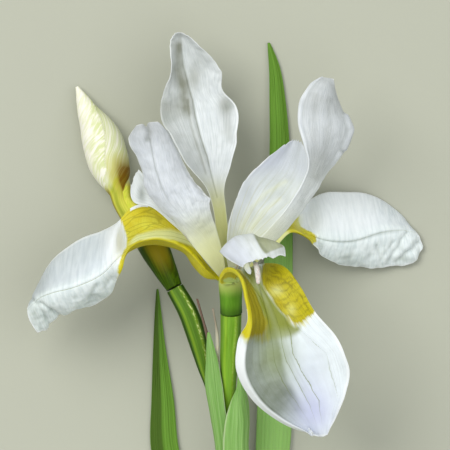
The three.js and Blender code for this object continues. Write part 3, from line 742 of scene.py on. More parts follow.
# The front fall: the outlines of its yellow patches, of the olive throat between them and of the green dome
# that shows above its foot, and its veins. The cross veins run over the right patch.
FRONT_RIGHT_PATCH = [
    (11.9, 3.4), (19.5, 2), (25.5, -5), (26.6, -11.8), (23.6, -15), (22, -16.5), (20.2, -17.4),
    (18.9, -16.6), (17.5, -14.6), (15.6, -12.6), (13.4, -9.6), (11.2, -6.4), (9.8, -3), (10, -0.4),
]
FRONT_CROSS_VEINS = [
    [(12.6, -1), (15, -1.9), (17.6, -1.6), (20, -0.4)],
    [(12, -2.2), (14.6, -3.2), (17.2, -3.4), (20.8, -2.2)],
    [(13.4, 0.8), (16.2, -3), (19.2, -6.2), (22.4, -8.8), (23.8, -11.6)],
    [(11.4, -3.5), (13.5, -4.5), (15.7, -5), (17.8, -4.5), (19.4, -3.4)],
    [(12.6, -5.8), (14.2, -6.6), (16, -7), (18.2, -5.8), (20.8, -4.4)],
    [(13.5, -8.5), (15.2, -9.4), (16.5, -9.6), (17.8, -8.5), (19.9, -6.8), (22, -5.8)],
    [(15.2, -10.4), (17.4, -10.9), (19.4, -9.9), (21.4, -8.6), (23.2, -8)],
    [(16.2, -11), (18.6, -12.2), (20.3, -12.3), (22.8, -10.9), (24.2, -10)],
    [(15.2, -11.5), (17.8, -14.2), (19.9, -15.2), (22, -14.2), (24, -12.4)],
]
FRONT_LEFT_PATCH = [
    (-3, -3), (0.5, 1.5), (4, -1), (6.8, -4.2), (8.8, -8.2), (10.4, -12.6),
    (12.4, -17.2), (11, -21.2), (7.8, -20.9), (5, -21.4), (3.6, -16), (2.6, -8),
]
TUBE_DOME = [(-2.6, -7.5), (-2.4, -4.6), (-0.6, -2.8), (1.8, -2.8), (3.6, -4.6), (4.2, -8)]
FRONT_THROAT = [
    (5, 0), (10, -0.4), (13.4, -7), (17, -13.2), (21, -18), (18, -20),
    (13.5, -21), (9, -22), (7.6, -14), (6.6, -8), (5, -3),
]
FRONT_VEINS = [
    [(6.8, -4.7), (9.6, -8.7), (11.4, -12.8), (12.6, -17.3),
     (13.6, -22.4), (14.4, -28.9), (16.4, -34.4), (26.5, -49.6)],
    [(10.4, -5.7), (12.9, -10.7), (15.4, -17.3), (16.4, -23.3),
     (17.9, -28.4), (20.9, -34.4), (24.5, -41), (27.4, -50)],
    [(11.3, -5.2), (14.4, -10.2), (16.9, -14.8), (18.4, -19.8),
     (19.4, -25.4), (21.9, -30.9), (27.2, -39.5), (28.4, -50)],
    [(11.9, -4.7), (15.4, -9.2), (18.9, -14.3), (21.5, -18.3),
     (24.5, -20.8), (29.5, -25.4), (33, -38), (29.6, -50)],
]


VEIN_GAP, EDGE_GAP = 0.25, 0.5  # the least millimetres between two veins, and between a vein and a margin


def front_branches(place):
    """The front fall's veins as whole numbers: 0 to 3 on the four main ones, and on to both margins."""
    x, y = place[..., 0], place[..., 1]
    left, right = x[:, :1], x[:, -1:]
    veins = [at_height(vein, y) for vein in FRONT_VEINS]
    for i in range(1, len(veins)):
        veins[i] = np.maximum(veins[i], veins[i - 1] + VEIN_GAP)
    bounds = [np.minimum(left, veins[0] - EDGE_GAP)] + veins + [np.maximum(right, veins[-1] + EDGE_GAP)]
    steps = [5, 1, 1, 1, 6]
    total = -steps[0] + 0 * x
    for low, high, step in zip(bounds, bounds[1:], steps):
        total = total + step * np.clip((x - low) / (high - low), 0, 1)
    return total


def add_fall_front():
    rows = [
        [[-2.4, -4, 4.6], [2, -2.4, 5], [4.8, -1.6, 3.8]],
        [[-1.2, -0.9, 9], [3.6, -0.6, 8.5], [8, 0.6, 7]],
        [[1.4, -0.6, 14], [6, -0.9, 12], [12.4, 1.5, 10.6]],
        [[3.7, -3.3, 18.5], [8.7, -3.6, 16], [17, 0.3, 15]],
        [[5, -8.4, 22], [10.5, -9, 18.5], [21.6, -5.4, 19]],
        [[6, -16.2, 24], [12.3, -15.6, 19.5], [26.1, -13.2, 21.5]],
        [[3.6, -23.7, 22], [13.8, -23.1, 18.5], [33.3, -22, 21]],
        [[3.3, -31.2, 19.5], [15.3, -30.6, 16.5], [36.1, -30.1, 19]],
        [[7.8, -39.6, 15.5], [18.3, -38.1, 13.5], [35.1, -37.8, 16]],
        [[15.9, -45.9, 12], [21.9, -44.4, 11], [31.9, -45.3, 13]],
        [[24.9, -49.6, 10], [27.7, -50.6, 10], [29.8, -49.6, 10.6]],
    ]
    blade_start = 0.56
    light_band = [(13, -6), (16.4, -8.6), (19.6, -13)]

    def lift(u, v, place):
        on_blade = ramp(blade_start - 0.04, blade_start + 0.06, u)
        trough = -1.9 * bell(v, -0.22, 0.42) * on_blade * (1 - 0.7 * ramp(0.85, 1, u))
        crest = 0.7 * bell(v, -0.86, 0.09) * on_blade
        roll = -2 * ramp(-0.84, -1, v) * on_blade
        furrow = -0.35 * bell(v, 0, 0.06) * ramp(0.75, 0.5, u)
        branch = front_branches(place)
        ribs = -0.12 * bell(branch, np.round(branch), 0.16) * ramp(0.95, 0.7, u)
        ribs = ribs * (1 - 0.8 * ramp(3.2, 4, branch))
        swell = 0.3 * noise_at(place, 0.11) * on_blade + 0.1 * noise_at(place, 0.4)
        hem = 0.35 * np.sin(40 * u) * ramp(0.75, 1, v) * on_blade
        return trough + crest + roll + furrow + ribs + swell + hem

    def bead(u, v):
        return 0.62 * bell(v, -0.97, 0.11) * ramp(blade_start, 0.36, u)

    def paint(u, v, place):
        x, y = place[..., 0], place[..., 1]
        right_depth = depth_in(place, FRONT_RIGHT_PATCH)
        left_depth = depth_in(place, FRONT_LEFT_PATCH)
        throat = ramp(-1.6, 0.4, depth_in(place, FRONT_THROAT)) * ramp(-25.5, -16.5, y)
        signal = np.clip(np.maximum(right_depth, left_depth), -DEEP, DEEP)
        signal = signal * (1 - 0.72 * ramp(-12, -17, y))
        signal = np.where((u < blade_start) & (v < -0.72), DEEP, signal)
        base = ramp(0.2, 0.1, u)
        dome = ramp(-0.3, 0.4, depth_in(place, TUBE_DOME)) * (u < 0.35) * (v > -0.8)
        dome = np.maximum(dome, ramp(0.09, 0.04, u))
        signal = np.maximum(signal, DEEP * (2 * base - 1))
        inner_left = ramp(0.05, -0.25, v) * ramp(-0.9, -0.8, v)
        rim = ramp(-0.78, -0.88, v)
        on_right = ramp(-0.5, 0.2, right_depth)
        far_side = 0.35 + 0.65 * ramp(0.45, 0.85, v)
        # Painted shade: on the left wall, which faces away from the light, the yellow is darkened to mustard.
        mustard = 0.98 * inner_left * (1 - rim) * ramp(0.25, 0.35, u) + 0.66 * on_right
        mustard = mustard - 0.35 * groove(place, light_band, 2)
        mustard = np.maximum(mustard, 0.6 * mound(place, 21, -16, 3.4, 2.2) * on_right)
        mustard = np.clip(mustard + 0.15 * noise_at(place, 0.45) * on_right, 0, 1)
        drift = np.stack([noise_at(place, 0.5), noise_at(place + 40, 0.5)], axis=-1)
        drifted = place[..., :2] + 0.9 * drift
        cross = np.clip(sum(groove(drifted, line, 0.24) for line in FRONT_CROSS_VEINS), 0, 1)
        branch = front_branches(place)
        beside_patches = ramp(0.8, -0.8, right_depth) * (1 - 0.75 * ramp(-0.4, 1, left_depth))
        lane = bell(branch, 0.5, 0.3)
        main = ramp(1.4, 0.6, np.abs(branch - 1.5) - 1.2)
        vein = (0.25 + 0.65 * main) * ramp(-49, -36, y) * (1 - 0.5 * ramp(2.4, 3, branch))
        vein = vein * (1 - 0.85 * ramp(3.4, 5, branch)) * (1 - rim)
        on_blade = ramp(0.3, -0.8, signal) * ramp(blade_start - 0.1, blade_start, u)
        shadow_edge = at_height(FRONT_VEINS[0], y)
        below_haft = ramp(blade_start - 0.16, blade_start - 0.06, u)
        # Painted shade: grey over the trough's left side, which faces away from the light, up to the first
        # vein and fading beyond, less towards the tip, with grey in the middle and grey and lilac at the
        # lower right.
        in_shadow = 0.95 * ramp(3, -1, x - shadow_edge) + 0.3 * ramp(9, -1, x - shadow_edge)
        in_shadow = in_shadow * ramp(-0.9, -0.84, v) * below_haft
        middle = 0.46 * mound(place, 16, -26, 6, 10) * on_blade
        low_right = mound(place, 24.6, -31, 5, 8) * on_blade
        # Painted light on the rolled left rim.
        rolled = ramp(-0.8, -0.88, v) * on_blade
        grey = 0.95 * in_shadow * (1 - 0.5 * ramp(-38, -48, y)) + middle + 0.13 * low_right
        lilac = (0.8 * mound(place, 26, -43, 6.5, 8) + 0.05) * on_blade + 0.2 * low_right
        return streaks(branch, u) | {
            "signal": (signal, np.where(u < 0.5, DEEP, -DEEP)),
            "mustard": (mustard, 0.2),
            "khaki": (0.98 * throat * (1 - rim) * (1 - 0.15 * lane) * beside_patches, 0),
            "lemon": (np.clip(0.55 * rim + 0.6 * on_right * far_side, 0, 1), 0.2),
            "pale": (mounds(place, [(0.45, 14.4, -6.8, 1.8, 1.4), (0.3, 19, -12.4, 1.2, 1.6)]), 0),
            "green": (0.95 * dome + 0.2 * mound(place, 14, -26, 5, 8) * on_blade, 0.95 * dome),
            "cross": (cross * (0.42 + 0.45 * noise_at(place, 0.6)), 0),
            "net": (0.15 + 0.5 * on_right, 0.2),
            "bright": (np.maximum(margin(u, v), rolled), margin(u, v)),
            "branch": (branch, 0),
            "vein": (vein * (1 - base), 0),
            "grey": (np.clip(grey, 0, 0.95), 0.15),
            "lilac": (lilac, 0.15),
        }

    petal("fall_front", FRONT, 1, rows, FALL, lift=lift, bead=bead, paint=paint, waver=0.006)


# Standards: the three upright inner petals


def standard_tints(u, v, grey, claw, warmth):
    """White tissue that turns olive yellow down the claw, greyed where it leans away from the light."""
    warm = ramp(claw, claw * 0.35, u) * warmth
    fan = v / (1 + 0.7 * np.clip(u - 0.3, 0, 1))
    return streaks(fan, u * 3) | {
        "warm": (warm, warm),
        "grey": (np.clip(grey, 0, 0.9), 0.25),
        "lilac": (0.07, 0.20),
        "branch": (fan * 13, fan * 13),
        "vein": (0.26 * (1 - np.abs(v)), 0.2),
    }


def add_standard_back():
    rows = [
        [[-3.2, 8.4, -3.4], [-1.2, 8.4, -4.6], [0.4, 8.4, -4]],
        [[-4.4, 17.4, -6.2], [-2.8, 17.4, -7.4], [-0.6, 17.4, -6.4]],
        [[-6.5, 24, -8.5], [-4.7, 24, -10], [-1.1, 24, -8.8]],
        [[-12.2, 31, -10], [-6.2, 31, -13], [0.9, 31, -10.8]],
        [[-16.8, 39, -11.5], [-8.1, 39, -15.5], [2.7, 39, -13]],
        [[-20.8, 48.3, -14], [-10.4, 48.3, -17], [2.6, 48.3, -15]],
        [[-19.4, 53.4, -13], [-11.6, 53.4, -17], [-1.4, 53.4, -15.5]],
        [[-16.7, 59.4, -13], [-12.9, 59.4, -16.5], [-2, 59.4, -13.5]],
        [[-17.3, 65.4, -12.5], [-13.8, 65.4, -15], [-6.9, 65.4, -12]],
        [[-17.1, 69, -11.5], [-14.3, 69.4, -13], [-10.8, 69, -11]],
        [[-15.6, 70.7, -10.5], [-14.7, 70.9, -11], [-13.4, 70.7, -10.3]],
    ]
    fold = [
        (-13.9, 67), (-13.3, 61.2), (-12.1, 55.9), (-10.7, 50.6), (-9.8, 45.3), (-8.3, 39.5),
        (-6.3, 33.6), (-5.1, 28.3), (-3.3, 21.3),
    ]
    ridge = [(-11.2, 50.6), (-10.8, 45.3), (-9.4, 39.5), (-7.4, 33.6), (-5.8, 28.3)]
    second_line = [(x - 0.9, y) for x, y in ridge]
    sulcus = [(-14.6, 67), (-14.5, 62.1), (-14.1, 56.7), (-13.3, 52.4), (-12.4, 47)]

    def lift(u, v, place):
        swells = mounds(place, [
            (-0.9, -15.2, 60, 1.8, 5), (-1.2, 0.8, 50, 2, 4), (-0.9, -18.6, 44, 2.5, 3),
            (1.1, -1.8, 45, 3, 4), (0.8, -19, 49.5, 2.5, 2.6), (0.8, -4.2, 58, 2.6, 3.2),
            (0.5, -9.5, 57, 1.8, 6),
        ])
        swells += grooves(place, [(-0.2, fold, 0.4), (0.2, ridge, 0.4)])
        ripple = 0.3 * noise_over(u * 30, v * 2) * ramp(0.45, 0.95, np.abs(v)) * ramp(0.35, 0.5, u)
        texture = 0.22 * noise_at(place, 0.22) + 0.12 * noise_at(place, 0.6)
        return swells + ripple + texture * ramp(0.25, 0.4, u)

    def paint(u, v, place):
        x, y = place[..., 0], place[..., 1]
        right_of_fold = ramp(-0.4, 0.4, x - at_height(fold, y))
        left_of_fold = 1 - right_of_fold
        # Painted shade: grey left of the fold and towards the claw, in the sulcus, along the fold and its
        # second line, round the lobes, and towards the top on the right.
        grey = left_of_fold * (0.34 + 0.06 * ramp(38, 60, y)) * ramp(20, 32, y)
        grey += (1 - 0.8 * right_of_fold) * 0.42 * groove(place, sulcus, 1.5) + 0.34 * ramp(28, 18, y)
        grey += right_of_fold * 0.22 * ramp(48, 62, y) * (1 - 0.5 * mound(place, -4, 57, 3, 4))
        grey += mounds(place, [
            (0.42, -10.2, 56.4, 1.9, 5), (0.6, -0.8, 48.9, 2.3, 3.6), (0.32, 0.2, 41.8, 1.8, 4),
            (0.16, -19, 48.5, 3, 4), (0.12, -15, 48.8, 2.2, 3.2),
        ])
        along_fold = (0.26 + 0.26 * ramp(56, 50, y)) * ramp(66, 60, y)
        grey += along_fold * groove(place, fold, 0.3) + 0.26 * groove(place, second_line, 0.35)
        grey = grey * (1 + 0.24 * noise_at(place, 0.2) + 0.16 * noise_at(place, 0.55))
        return standard_tints(u, v, grey, claw=0.36, warmth=0.95)

    petal("standard_back", BACK_GAP, -1, rows, STANDARD, lift=lift, paint=paint, waver=0.035)


def add_standard_left():
    rows = [
        [[-5.4, 0.6, 6], [-3.8, 2.9, 6.4], [-1.5, 4.2, 6.2]],
        [[-10.2, 6.3, 8.5], [-8, 8.2, 9.3], [-3.1, 10.3, 8.6]],
        [[-15.6, 13.8, 9.5], [-13.4, 14.2, 12], [-4.9, 16.7, 12.2]],
        [[-21, 18.6, 10.5], [-18, 19.5, 14], [-5.5, 21.3, 13.5]],
        [[-24.6, 23.7, 12], [-20.7, 24.9, 16], [-8.7, 25.2, 13]],
        [[-25.2, 28.8, 13.5], [-22.2, 30.9, 17], [-12.5, 31.8, 13]],
        [[-27.8, 34.2, 14.5], [-22.8, 36, 17.5], [-15.6, 37.2, 13.5]],
        [[-29.8, 38.7, 15], [-23.6, 40.2, 17.5], [-17.7, 41.1, 14.5]],
        [[-27.4, 42.6, 15.5], [-24.4, 43.4, 16.5], [-20.4, 43.7, 15.5]],
    ]
    midrib = [(-23.2, 38.5), (-22.6, 34), (-21.7, 29.5), (-19.8, 24), (-17, 18.6), (-13, 12.6)]
    wrinkles = [[(-9, 24.6), (-6, 22.8)], [(-8.6, 22.4), (-5.8, 21.4)], [(-9.4, 20), (-6.4, 19.8)],
                [(-12, 27.6), (-9, 25.2)]]
    tip_fold = [(-24.6, 43), (-23.4, 40.6), (-24, 38.4)]

    def notch(v):
        return 1 - 0.03 * bell(v, -0.1, 0.15)

    def lift(u, v, place):
        upper = ramp(16, 27, place[..., 1])
        lines = -0.26 * groove(place, midrib, 0.4) * upper - 0.7 * groove(place, tip_fold, 0.9)
        lines -= 0.16 * sum(groove(place, wrinkle, 0.35) for wrinkle in wrinkles)
        lines += 0.16 * noise_at(place, 0.9) * mound(place, -8, 22, 4.5, 7)
        swell = 0.45 * noise_at(place, 0.13) + 0.22 * noise_at(place, 0.38) + 0.08 * noise_at(place, 0.9)
        edge = -0.6 * ramp(0.8, 1, v) * ramp(0.3, 0.5, u)
        return lines + swell * ramp(0.12, 0.35, u) + edge

    def paint(u, v, place):
        upper = ramp(16, 27, place[..., 1])
        # Painted shade: grey in the tip's fold, along the upper midrib and in the wrinkles, towards the tip
        # and in patches.
        grey = 0.35 * groove(place, tip_fold, 1.2) + 0.35 * groove(place, midrib, 0.3) * upper + 0.15 * upper
        grey += 0.3 * mound(place, -8, 13.5, 4, 5) + 0.14 * mound(place, -16, 33, 3, 6)
        grey += 0.32 * ramp(33, 41, place[..., 1])
        grey += 0.08 * sum(groove(place, wrinkle, 0.5) for wrinkle in wrinkles)
        tints = standard_tints(u, v, grey, claw=0.40, warmth=0.8)
        tints["lilac"] = (0.22 * ramp(0.3, 0.5, u), 0.2)
        return tints

    petal("standard_left", LEFT_GAP, 1, rows, STANDARD, end=notch, lift=lift, paint=paint, waver=0.045)


def add_standard_right():
    rows = [
        [[5.9, 4.4, 3.4], [6.8, 3.4, 2.2], [7.6, 2.4, 1.2]],
        [[12.6, 12.3, 5.5], [14.4, 10.8, 4], [16.2, 9.9, 2]],
        [[17.1, 17.4, 7], [18.9, 16.4, 5.4], [21.2, 15.9, 2]],
        [[21.6, 24.6, 8], [23.7, 23.4, 6.4], [26.6, 24.3, 1.5]],
        [[23.9, 30.9, 8.5], [26.4, 30, 6.8], [30.3, 29.9, 0]],
        [[22.8, 36.3, 9], [28.2, 36, 7], [35.1, 35, -1]],
        [[20.7, 44.4, 8], [29.1, 42.9, 7.5], [37.1, 41.7, 0.5]],
        [[21.6, 50.4, 6], [29.7, 48.9, 7], [33.9, 48.6, 1.5]],
        [[24.9, 55.2, 4.5], [30.3, 54, 4.8], [32.4, 52.8, 2]],
        [[28.2, 57.2, 3], [30.3, 57, 2.9], [31.8, 56.7, 2.5]],
    ]
    flap = [(35.4, 45.6), (36.8, 41.6), (34.8, 36)]
    streak_lines = [[(26.4, 51), (25.6, 44), (25.8, 36), (25.2, 28), (22, 20)],
                    [(30.4, 50), (30.6, 43), (29, 35), (26.6, 27)]]
    edge_roll = [(33.4, 34.4), (29.4, 28), (25.2, 22.4), (20.8, 15.4)]

    def lift(u, v, place):
        swell = 0.35 * noise_at(place, 0.12) + 0.08 * noise_at(place, 0.6)
        hollows = -0.18 * sum(groove(place, line, 1.5) for line in streak_lines)
        rim = 0.4 * bell(v, -0.93, 0.06) + 0.5 * groove(place, edge_roll, 0.6)
        turned = 0.8 * groove(place, flap, 0.7)
        return (swell + hollows + rim + turned) * ramp(0.2, 0.4, u)

    def paint(u, v, place):
        # Painted shade: grey along the streaks, over the upper part and in patches, kept off the margin and
        # its roll.
        grey = 0.14 * sum(groove(place, line, 1.6) for line in streak_lines) + 0.22 * ramp(0.35, 0.55, u)
        grey += 0.18 * mound(place, 27.5, 33, 5, 6) + 0.14 * ramp(42, 50, place[..., 1])
        grey += 0.12 * mound(place, 12, 12.6, 3.4, 3)
        grey = grey * (1 - 0.9 * bell(v, -0.95, 0.07)) * (1 - 0.8 * groove(place, edge_roll, 0.7))
        tints = standard_tints(u, v, grey, claw=0.38, warmth=0.35)
        tints["lilac"] = (0.12 * ramp(0.4, 0.6, u) + 0.04, 0.3)
        return tints

    petal("standard_right", RIGHT_GAP, 1, rows, STANDARD, lift=lift, paint=paint, waver=0.035)


# Style arms: petal-like straps that end in ragged crests


def ragged_end(depth, notch_at, notch_depth, teeth):
    """A crest's torn edge: broad lobes, fine teeth on them, and one deep notch."""

    def end(v):
        broad = 0.5 + 0.5 * np.cos(4 * math.pi * (v + 0.25))
        fine = np.abs(np.sin(11 * v + 1.5 * np.sin(5 * v))) + 0.4 * np.abs(np.sin(29 * v + np.sin(9 * v)))
        notch = notch_depth * bell(v, notch_at, 0.2)
        return 1 - depth * broad - teeth * fine - notch

    return end


def style_tints(u, v, grey, lilac, warmth, reach):
    """White tissue that turns yellow towards its foot, up to a reach."""
    warm = ramp(reach, reach * 0.3, u) * warmth
    fan = v / (1 + 0.5 * np.clip(u - 0.3, 0, 1))
    return streaks(fan, u * 2) | {
        "warm": (warm, warm),
        "grey": (np.clip(grey, 0, 0.9), 0.2),
        "lilac": (np.clip(lilac, 0, 1), 0.25),
        "branch": (fan * 4 + 0.5, fan * 4),
        "vein": (0.5 * bell(u, 0.4, 0.25), 0.2),
    }


def add_style_left():
    rows = [
        [[-6, 5.4, -3.2], [-5.4, 3.6, 0.4], [-5, 2.2, 2]],
        [[-11.5, 11.6, -2.4], [-11, 9.4, 1.6], [-11, 8, 2.6]],
        [[-16, 18.6, -1], [-16.3, 16, 2.5], [-17, 13.4, 3]],
        [[-21, 23, 0], [-22, 20.5, 3], [-22.7, 18.2, 3]],
        [[-24.2, 27, 1], [-27, 22.8, 3.2], [-28.2, 19.9, 2.5]],
        [[-27, 29.4, 0], [-28.3, 27.4, 1.2], [-28.9, 25, 1.5]],
    ]

    def lift(u, v, place):
        hollow = -0.7 * mound(place, -25.6, 22, 1.4, 2.6)
        rim = 0.35 * bell(np.abs(v), 0.94, 0.07) * ramp(0.5, 0.7, u)
        return hollow + rim + 0.18 * noise_at(place, 0.3)

    def paint(u, v, place):
        # Painted shade: grey in the hollow, kept off the margins.
        grey = 0.55 * mound(place, -25.8, 21.6, 1.6, 3)
        grey = grey * (1 - bell(np.abs(v), 0.97, 0.1))
        return style_tints(u, v, grey, lilac=0.1, warmth=0.6, reach=0.6)

    end = ragged_end(depth=0.004, notch_at=0.5, notch_depth=0.015, teeth=0.006)
    petal("style_left", LEFT, 1, rows, STYLE, end=end, lift=lift, paint=paint)


def add_style_right():
    rows = [
        [[-0.2, 5.6, -2], [3, 5.6, -3.4], [5, 4.6, -2.2]],
        [[-0.1, 12, -3.4], [5.4, 12.2, -6], [11.6, 10.4, -3.8]],
        [[1.8, 19, -6], [8.8, 18.2, -8.8], [17.6, 15.4, -5.2]],
        [[5, 26.2, -9], [12.6, 23.8, -11.6], [22.6, 21.8, -8]],
        [[10.8, 32.2, -12], [17, 29.6, -14], [24.6, 28.4, -11]],
        [[17.4, 38, -14.5], [20.8, 38.8, -16], [24.2, 35.4, -14]],
    ]

    def end(v):
        corner = 0.14 * bell(v, -1.1, 0.22) + 0.018 * bell(v, -0.72, 0.05)
        teeth = 0.012 * np.abs(np.sin(13 * v + 1.8 * np.sin(5 * v)))
        return 1 - corner - teeth - 0.03 * ramp(0.5, 1, v)

    curved_streaks = [
        [(4.2, 12), (6.8, 17.8), (11.6, 22.4), (17.4, 25.8)],
        [(7.2, 11.6), (10.6, 16.6), (15.6, 20.4)],
    ]

    def lift(u, v, place):
        ridges = 0.45 * sum(groove(place, line, 1.3) for line in curved_streaks)
        hem = 0.14 * np.sin(9 * v + 1) * ramp(0.8, 1, u)
        return ridges + hem + 0.3 * noise_at(place, 0.14) * ramp(0.2, 0.4, u)

    def paint(u, v, place):
        warm_streak = sum(groove(place, line, 0.7) for line in curved_streaks)
        # Painted shade: grey in patches and towards the crest.
        grey = 0.14 * mound(place, 15, 24, 5, 4) + 0.2 * mound(place, 5.5, 22.5, 2, 4)
        grey = grey + 0.22 * ramp(0.66, 0.95, u) + 0.1 * mound(place, 10.6, 13, 3, 2.8)
        lilac = 0.22 * ramp(0.2, -0.9, v) + 0.28 * ramp(0.7, 0.9, u)
        tints = style_tints(u, v, grey, lilac, warmth=0.35, reach=0.55)
        tints["warm"] = (np.clip(tints["warm"][0] + 0.20 * warm_streak, 0, 1), tints["warm"][1])
        return tints

    petal("style_right", RIGHT, -1, rows, STYLE, end=end, lift=lift, paint=paint, waver=0.03)


FLAP_THICK = 0.5


def add_style_front():
    rows = [
        [[-0.4, 2.6, 4.8], [1.4, 4.6, 5.4], [3.2, 3.6, 4.4]],
        [[-1.8, 4.5, 11], [3, 8.4, 12], [7.2, 7.2, 10]],
        [[-2.3, 4.7, 17], [5.4, 10, 18], [11.4, 7.2, 15]],
        [[0.3, 2.4, 21], [7.8, 7.8, 23], [16.4, 6.7, 19.4]],
        [[4.5, 0.2, 24], [10.4, 2.4, 25.6], [17.1, 3.4, 22]],
    ]
    arm_furrow = [(9, 8.8), (10.6, 6.6), (11.4, 5.4)]
    crest_ridge = [(7, 9.6), (8.2, 5.6), (7.4, 2.6)]
    left_hem = [(-2.6, 4.4), (0.6, 2.2), (4, 0.8)]
    shaded_side = [
        (6.8, 11.4), (9, 11), (11.4, 10), (14.4, 8.8), (17.8, 7), (14.4, 5.6), (12.6, 5), (11.2, 4.2),
        (9.8, 5.6), (8.2, 8.4),
    ]

    def lift(u, v, place):
        furrow = -0.4 * groove(place, arm_furrow, 0.9) + 0.3 * groove(place, crest_ridge, 1)
        hem = 0.3 * np.sin(7 * v + 1.2) * ramp(0.72, 1, u)
        frill = 0.16 * noise_over(v * 6, u * 2) * ramp(0.6, 1, u)
        return furrow + hem + frill + 0.15 * noise_at(place, 0.3)

    def paint(u, v, place):
        # Painted shade: grey over the crest's shaded side, warmed to beige there, on the lip and along the
        # left hem.
        in_shade = ramp(-0.3, 0.5, depth_in(place, shaded_side))
        grey = 0.12 + 0.84 * in_shade * (1 - 0.7 * ramp(0.9, 0.97, np.abs(v)))
        grey = (grey + 0.32 * mound(place, 15.4, 5, 2.6, 1.6)) * ramp(0.2, 0.5, u)
        grey = grey + 0.32 * groove(place, left_hem, 1.7)
        lilac = 0.32 * ramp(0, -0.7, v) + 0.06
        tints = style_tints(u, v, grey, lilac, warmth=0.45, reach=0.4)
        tints["warm"] = (np.maximum(tints["warm"][0] * (1 - in_shade), 0.2 * in_shade), tints["warm"][1])
        tints["vein"] = (0, 0)
        tints["grey"] = (tints["grey"][0], 0.0)
        tints["lilac"] = (tints["lilac"][0] * (1 - in_shade), tints["lilac"][1])
        return tints

    flap = [
        [[4.5, 1.7, 24], [5.2, 2, 24.3], [5.9, 2.1, 24.3]],
        [[4.9, -0.1, 23.2], [5.7, 0.2, 23.6], [6.5, 0.4, 23.3]],
        [[6.2, -1.9, 22.6], [6.7, -1.8, 22.8], [7.1, -1.3, 22.6]],
    ]

    def flap_paint(u, v, place):
        # Painted shade: a little grey all over.
        return style_tints(u, v, grey=0.2, lilac=0.1, warmth=0.4, reach=0.9)

    blade("stigma_flap", flap, (24, 16), FLAP_THICK, STYLE, "style", end=lambda v: 1 - 0.16 * v**2,
          paint=flap_paint, node="style_front")
    end = ragged_end(depth=0.012, notch_at=-0.55, notch_depth=0.02, teeth=0.01)
    petal("style_front", FRONT, 1, rows, STYLE, end=end, lift=lift, paint=paint)


# Stamens


STAMEN_RING = 2.0  # where the filaments stand round the flower's axis
ANTHER_START = 0.58  # as a share of a stamen's length
FILAMENT_RADIUS, ANTHER_RADIUS = 0.32, 1.0


def add_stamens():
    def radius(s, angle):
        anther = np.sqrt(np.sin(math.pi * np.clip((s - ANTHER_START) / (1 - ANTHER_START), 0, 1)))
        lobes = 1 + 0.16 * np.cos(2 * angle) * anther
        return (FILAMENT_RADIUS + (ANTHER_RADIUS - FILAMENT_RADIUS) * anther) * lobes

    front = [[3, 1.4, 8], [5.6, 2.2, 14], [8, 1.6, 20], [8.8, -1.2, 23], [9, -4.6, 24.4]]
    left = [[-5.6, 1.6, -1], [-11.6, 8.4, -1.4], [-17, 14.6, -2], [-20.4, 17.6, -2.2], [-24, 20.4, -2.4]]
    right = [[5.4, 3.8, -4], [10, 9.4, -8], [14.2, 13, -11.2], [17.2, 14.6, -13], [20.2, 15.4, -14.6]]
    for name, azimuth, line in (("front", FRONT, front), ("left", LEFT, left), ("right", RIGHT, right)):
        line = [around_axis(azimuth, STAMEN_RING)] + line
        rod("stamen_" + name, line, radius, (90, 20), ANTHER, up=(1, 0.3, 0))


# Stalks


def stalk_paint(s, angle, place, share):
    """Pale on the cut face, with painted shade on the lower side."""
    cut_face = ramp(0.99, 0.9, share)
    under = 0.35 * ramp(-0.2, -0.9, np.sin(angle))
    return {"pale": 0.7 * cut_face, "shade": under, "yellow": 0.1}


def ovary_tints(angle, dark, speck):
    """Six ridges with paler crests, painted highlights, painted shade in the troughs and towards the sides,
    and a row of specks on one crest.
    """
    crest = ramp(0.3, 0.95, np.cos(6 * angle))
    trough = ramp(0.3, 1, -np.cos(6 * angle))
    side = ramp(0.62, 1, np.abs(np.cos(angle)))
    specks = speck * crest * bell(angle, math.pi / 3, 0.45)
    shade = np.clip(dark + 0.14 * trough + 0.45 * side, 0, 1)
    return {"shade": shade, "yellow": 0.2 * crest, "speck": specks}


def ovary_radius(body):
    """The radius of a body with six ridges, which rise over the first half of its length."""

    def radius(s, angle):
        ridge = 1.2 * np.cos(6 * angle) + 0.2 * np.cos(18 * angle)
        return body(s) * (1 + 0.032 * ridge * np.minimum(1, 2 * s))

    return radius


DOME_HEIGHT = 3.2  # how far the tube's rounded top reaches up between the feet of the petals
RIM_SHARE = 0.6  # where the tube's rim is, as a share of its length with the dome


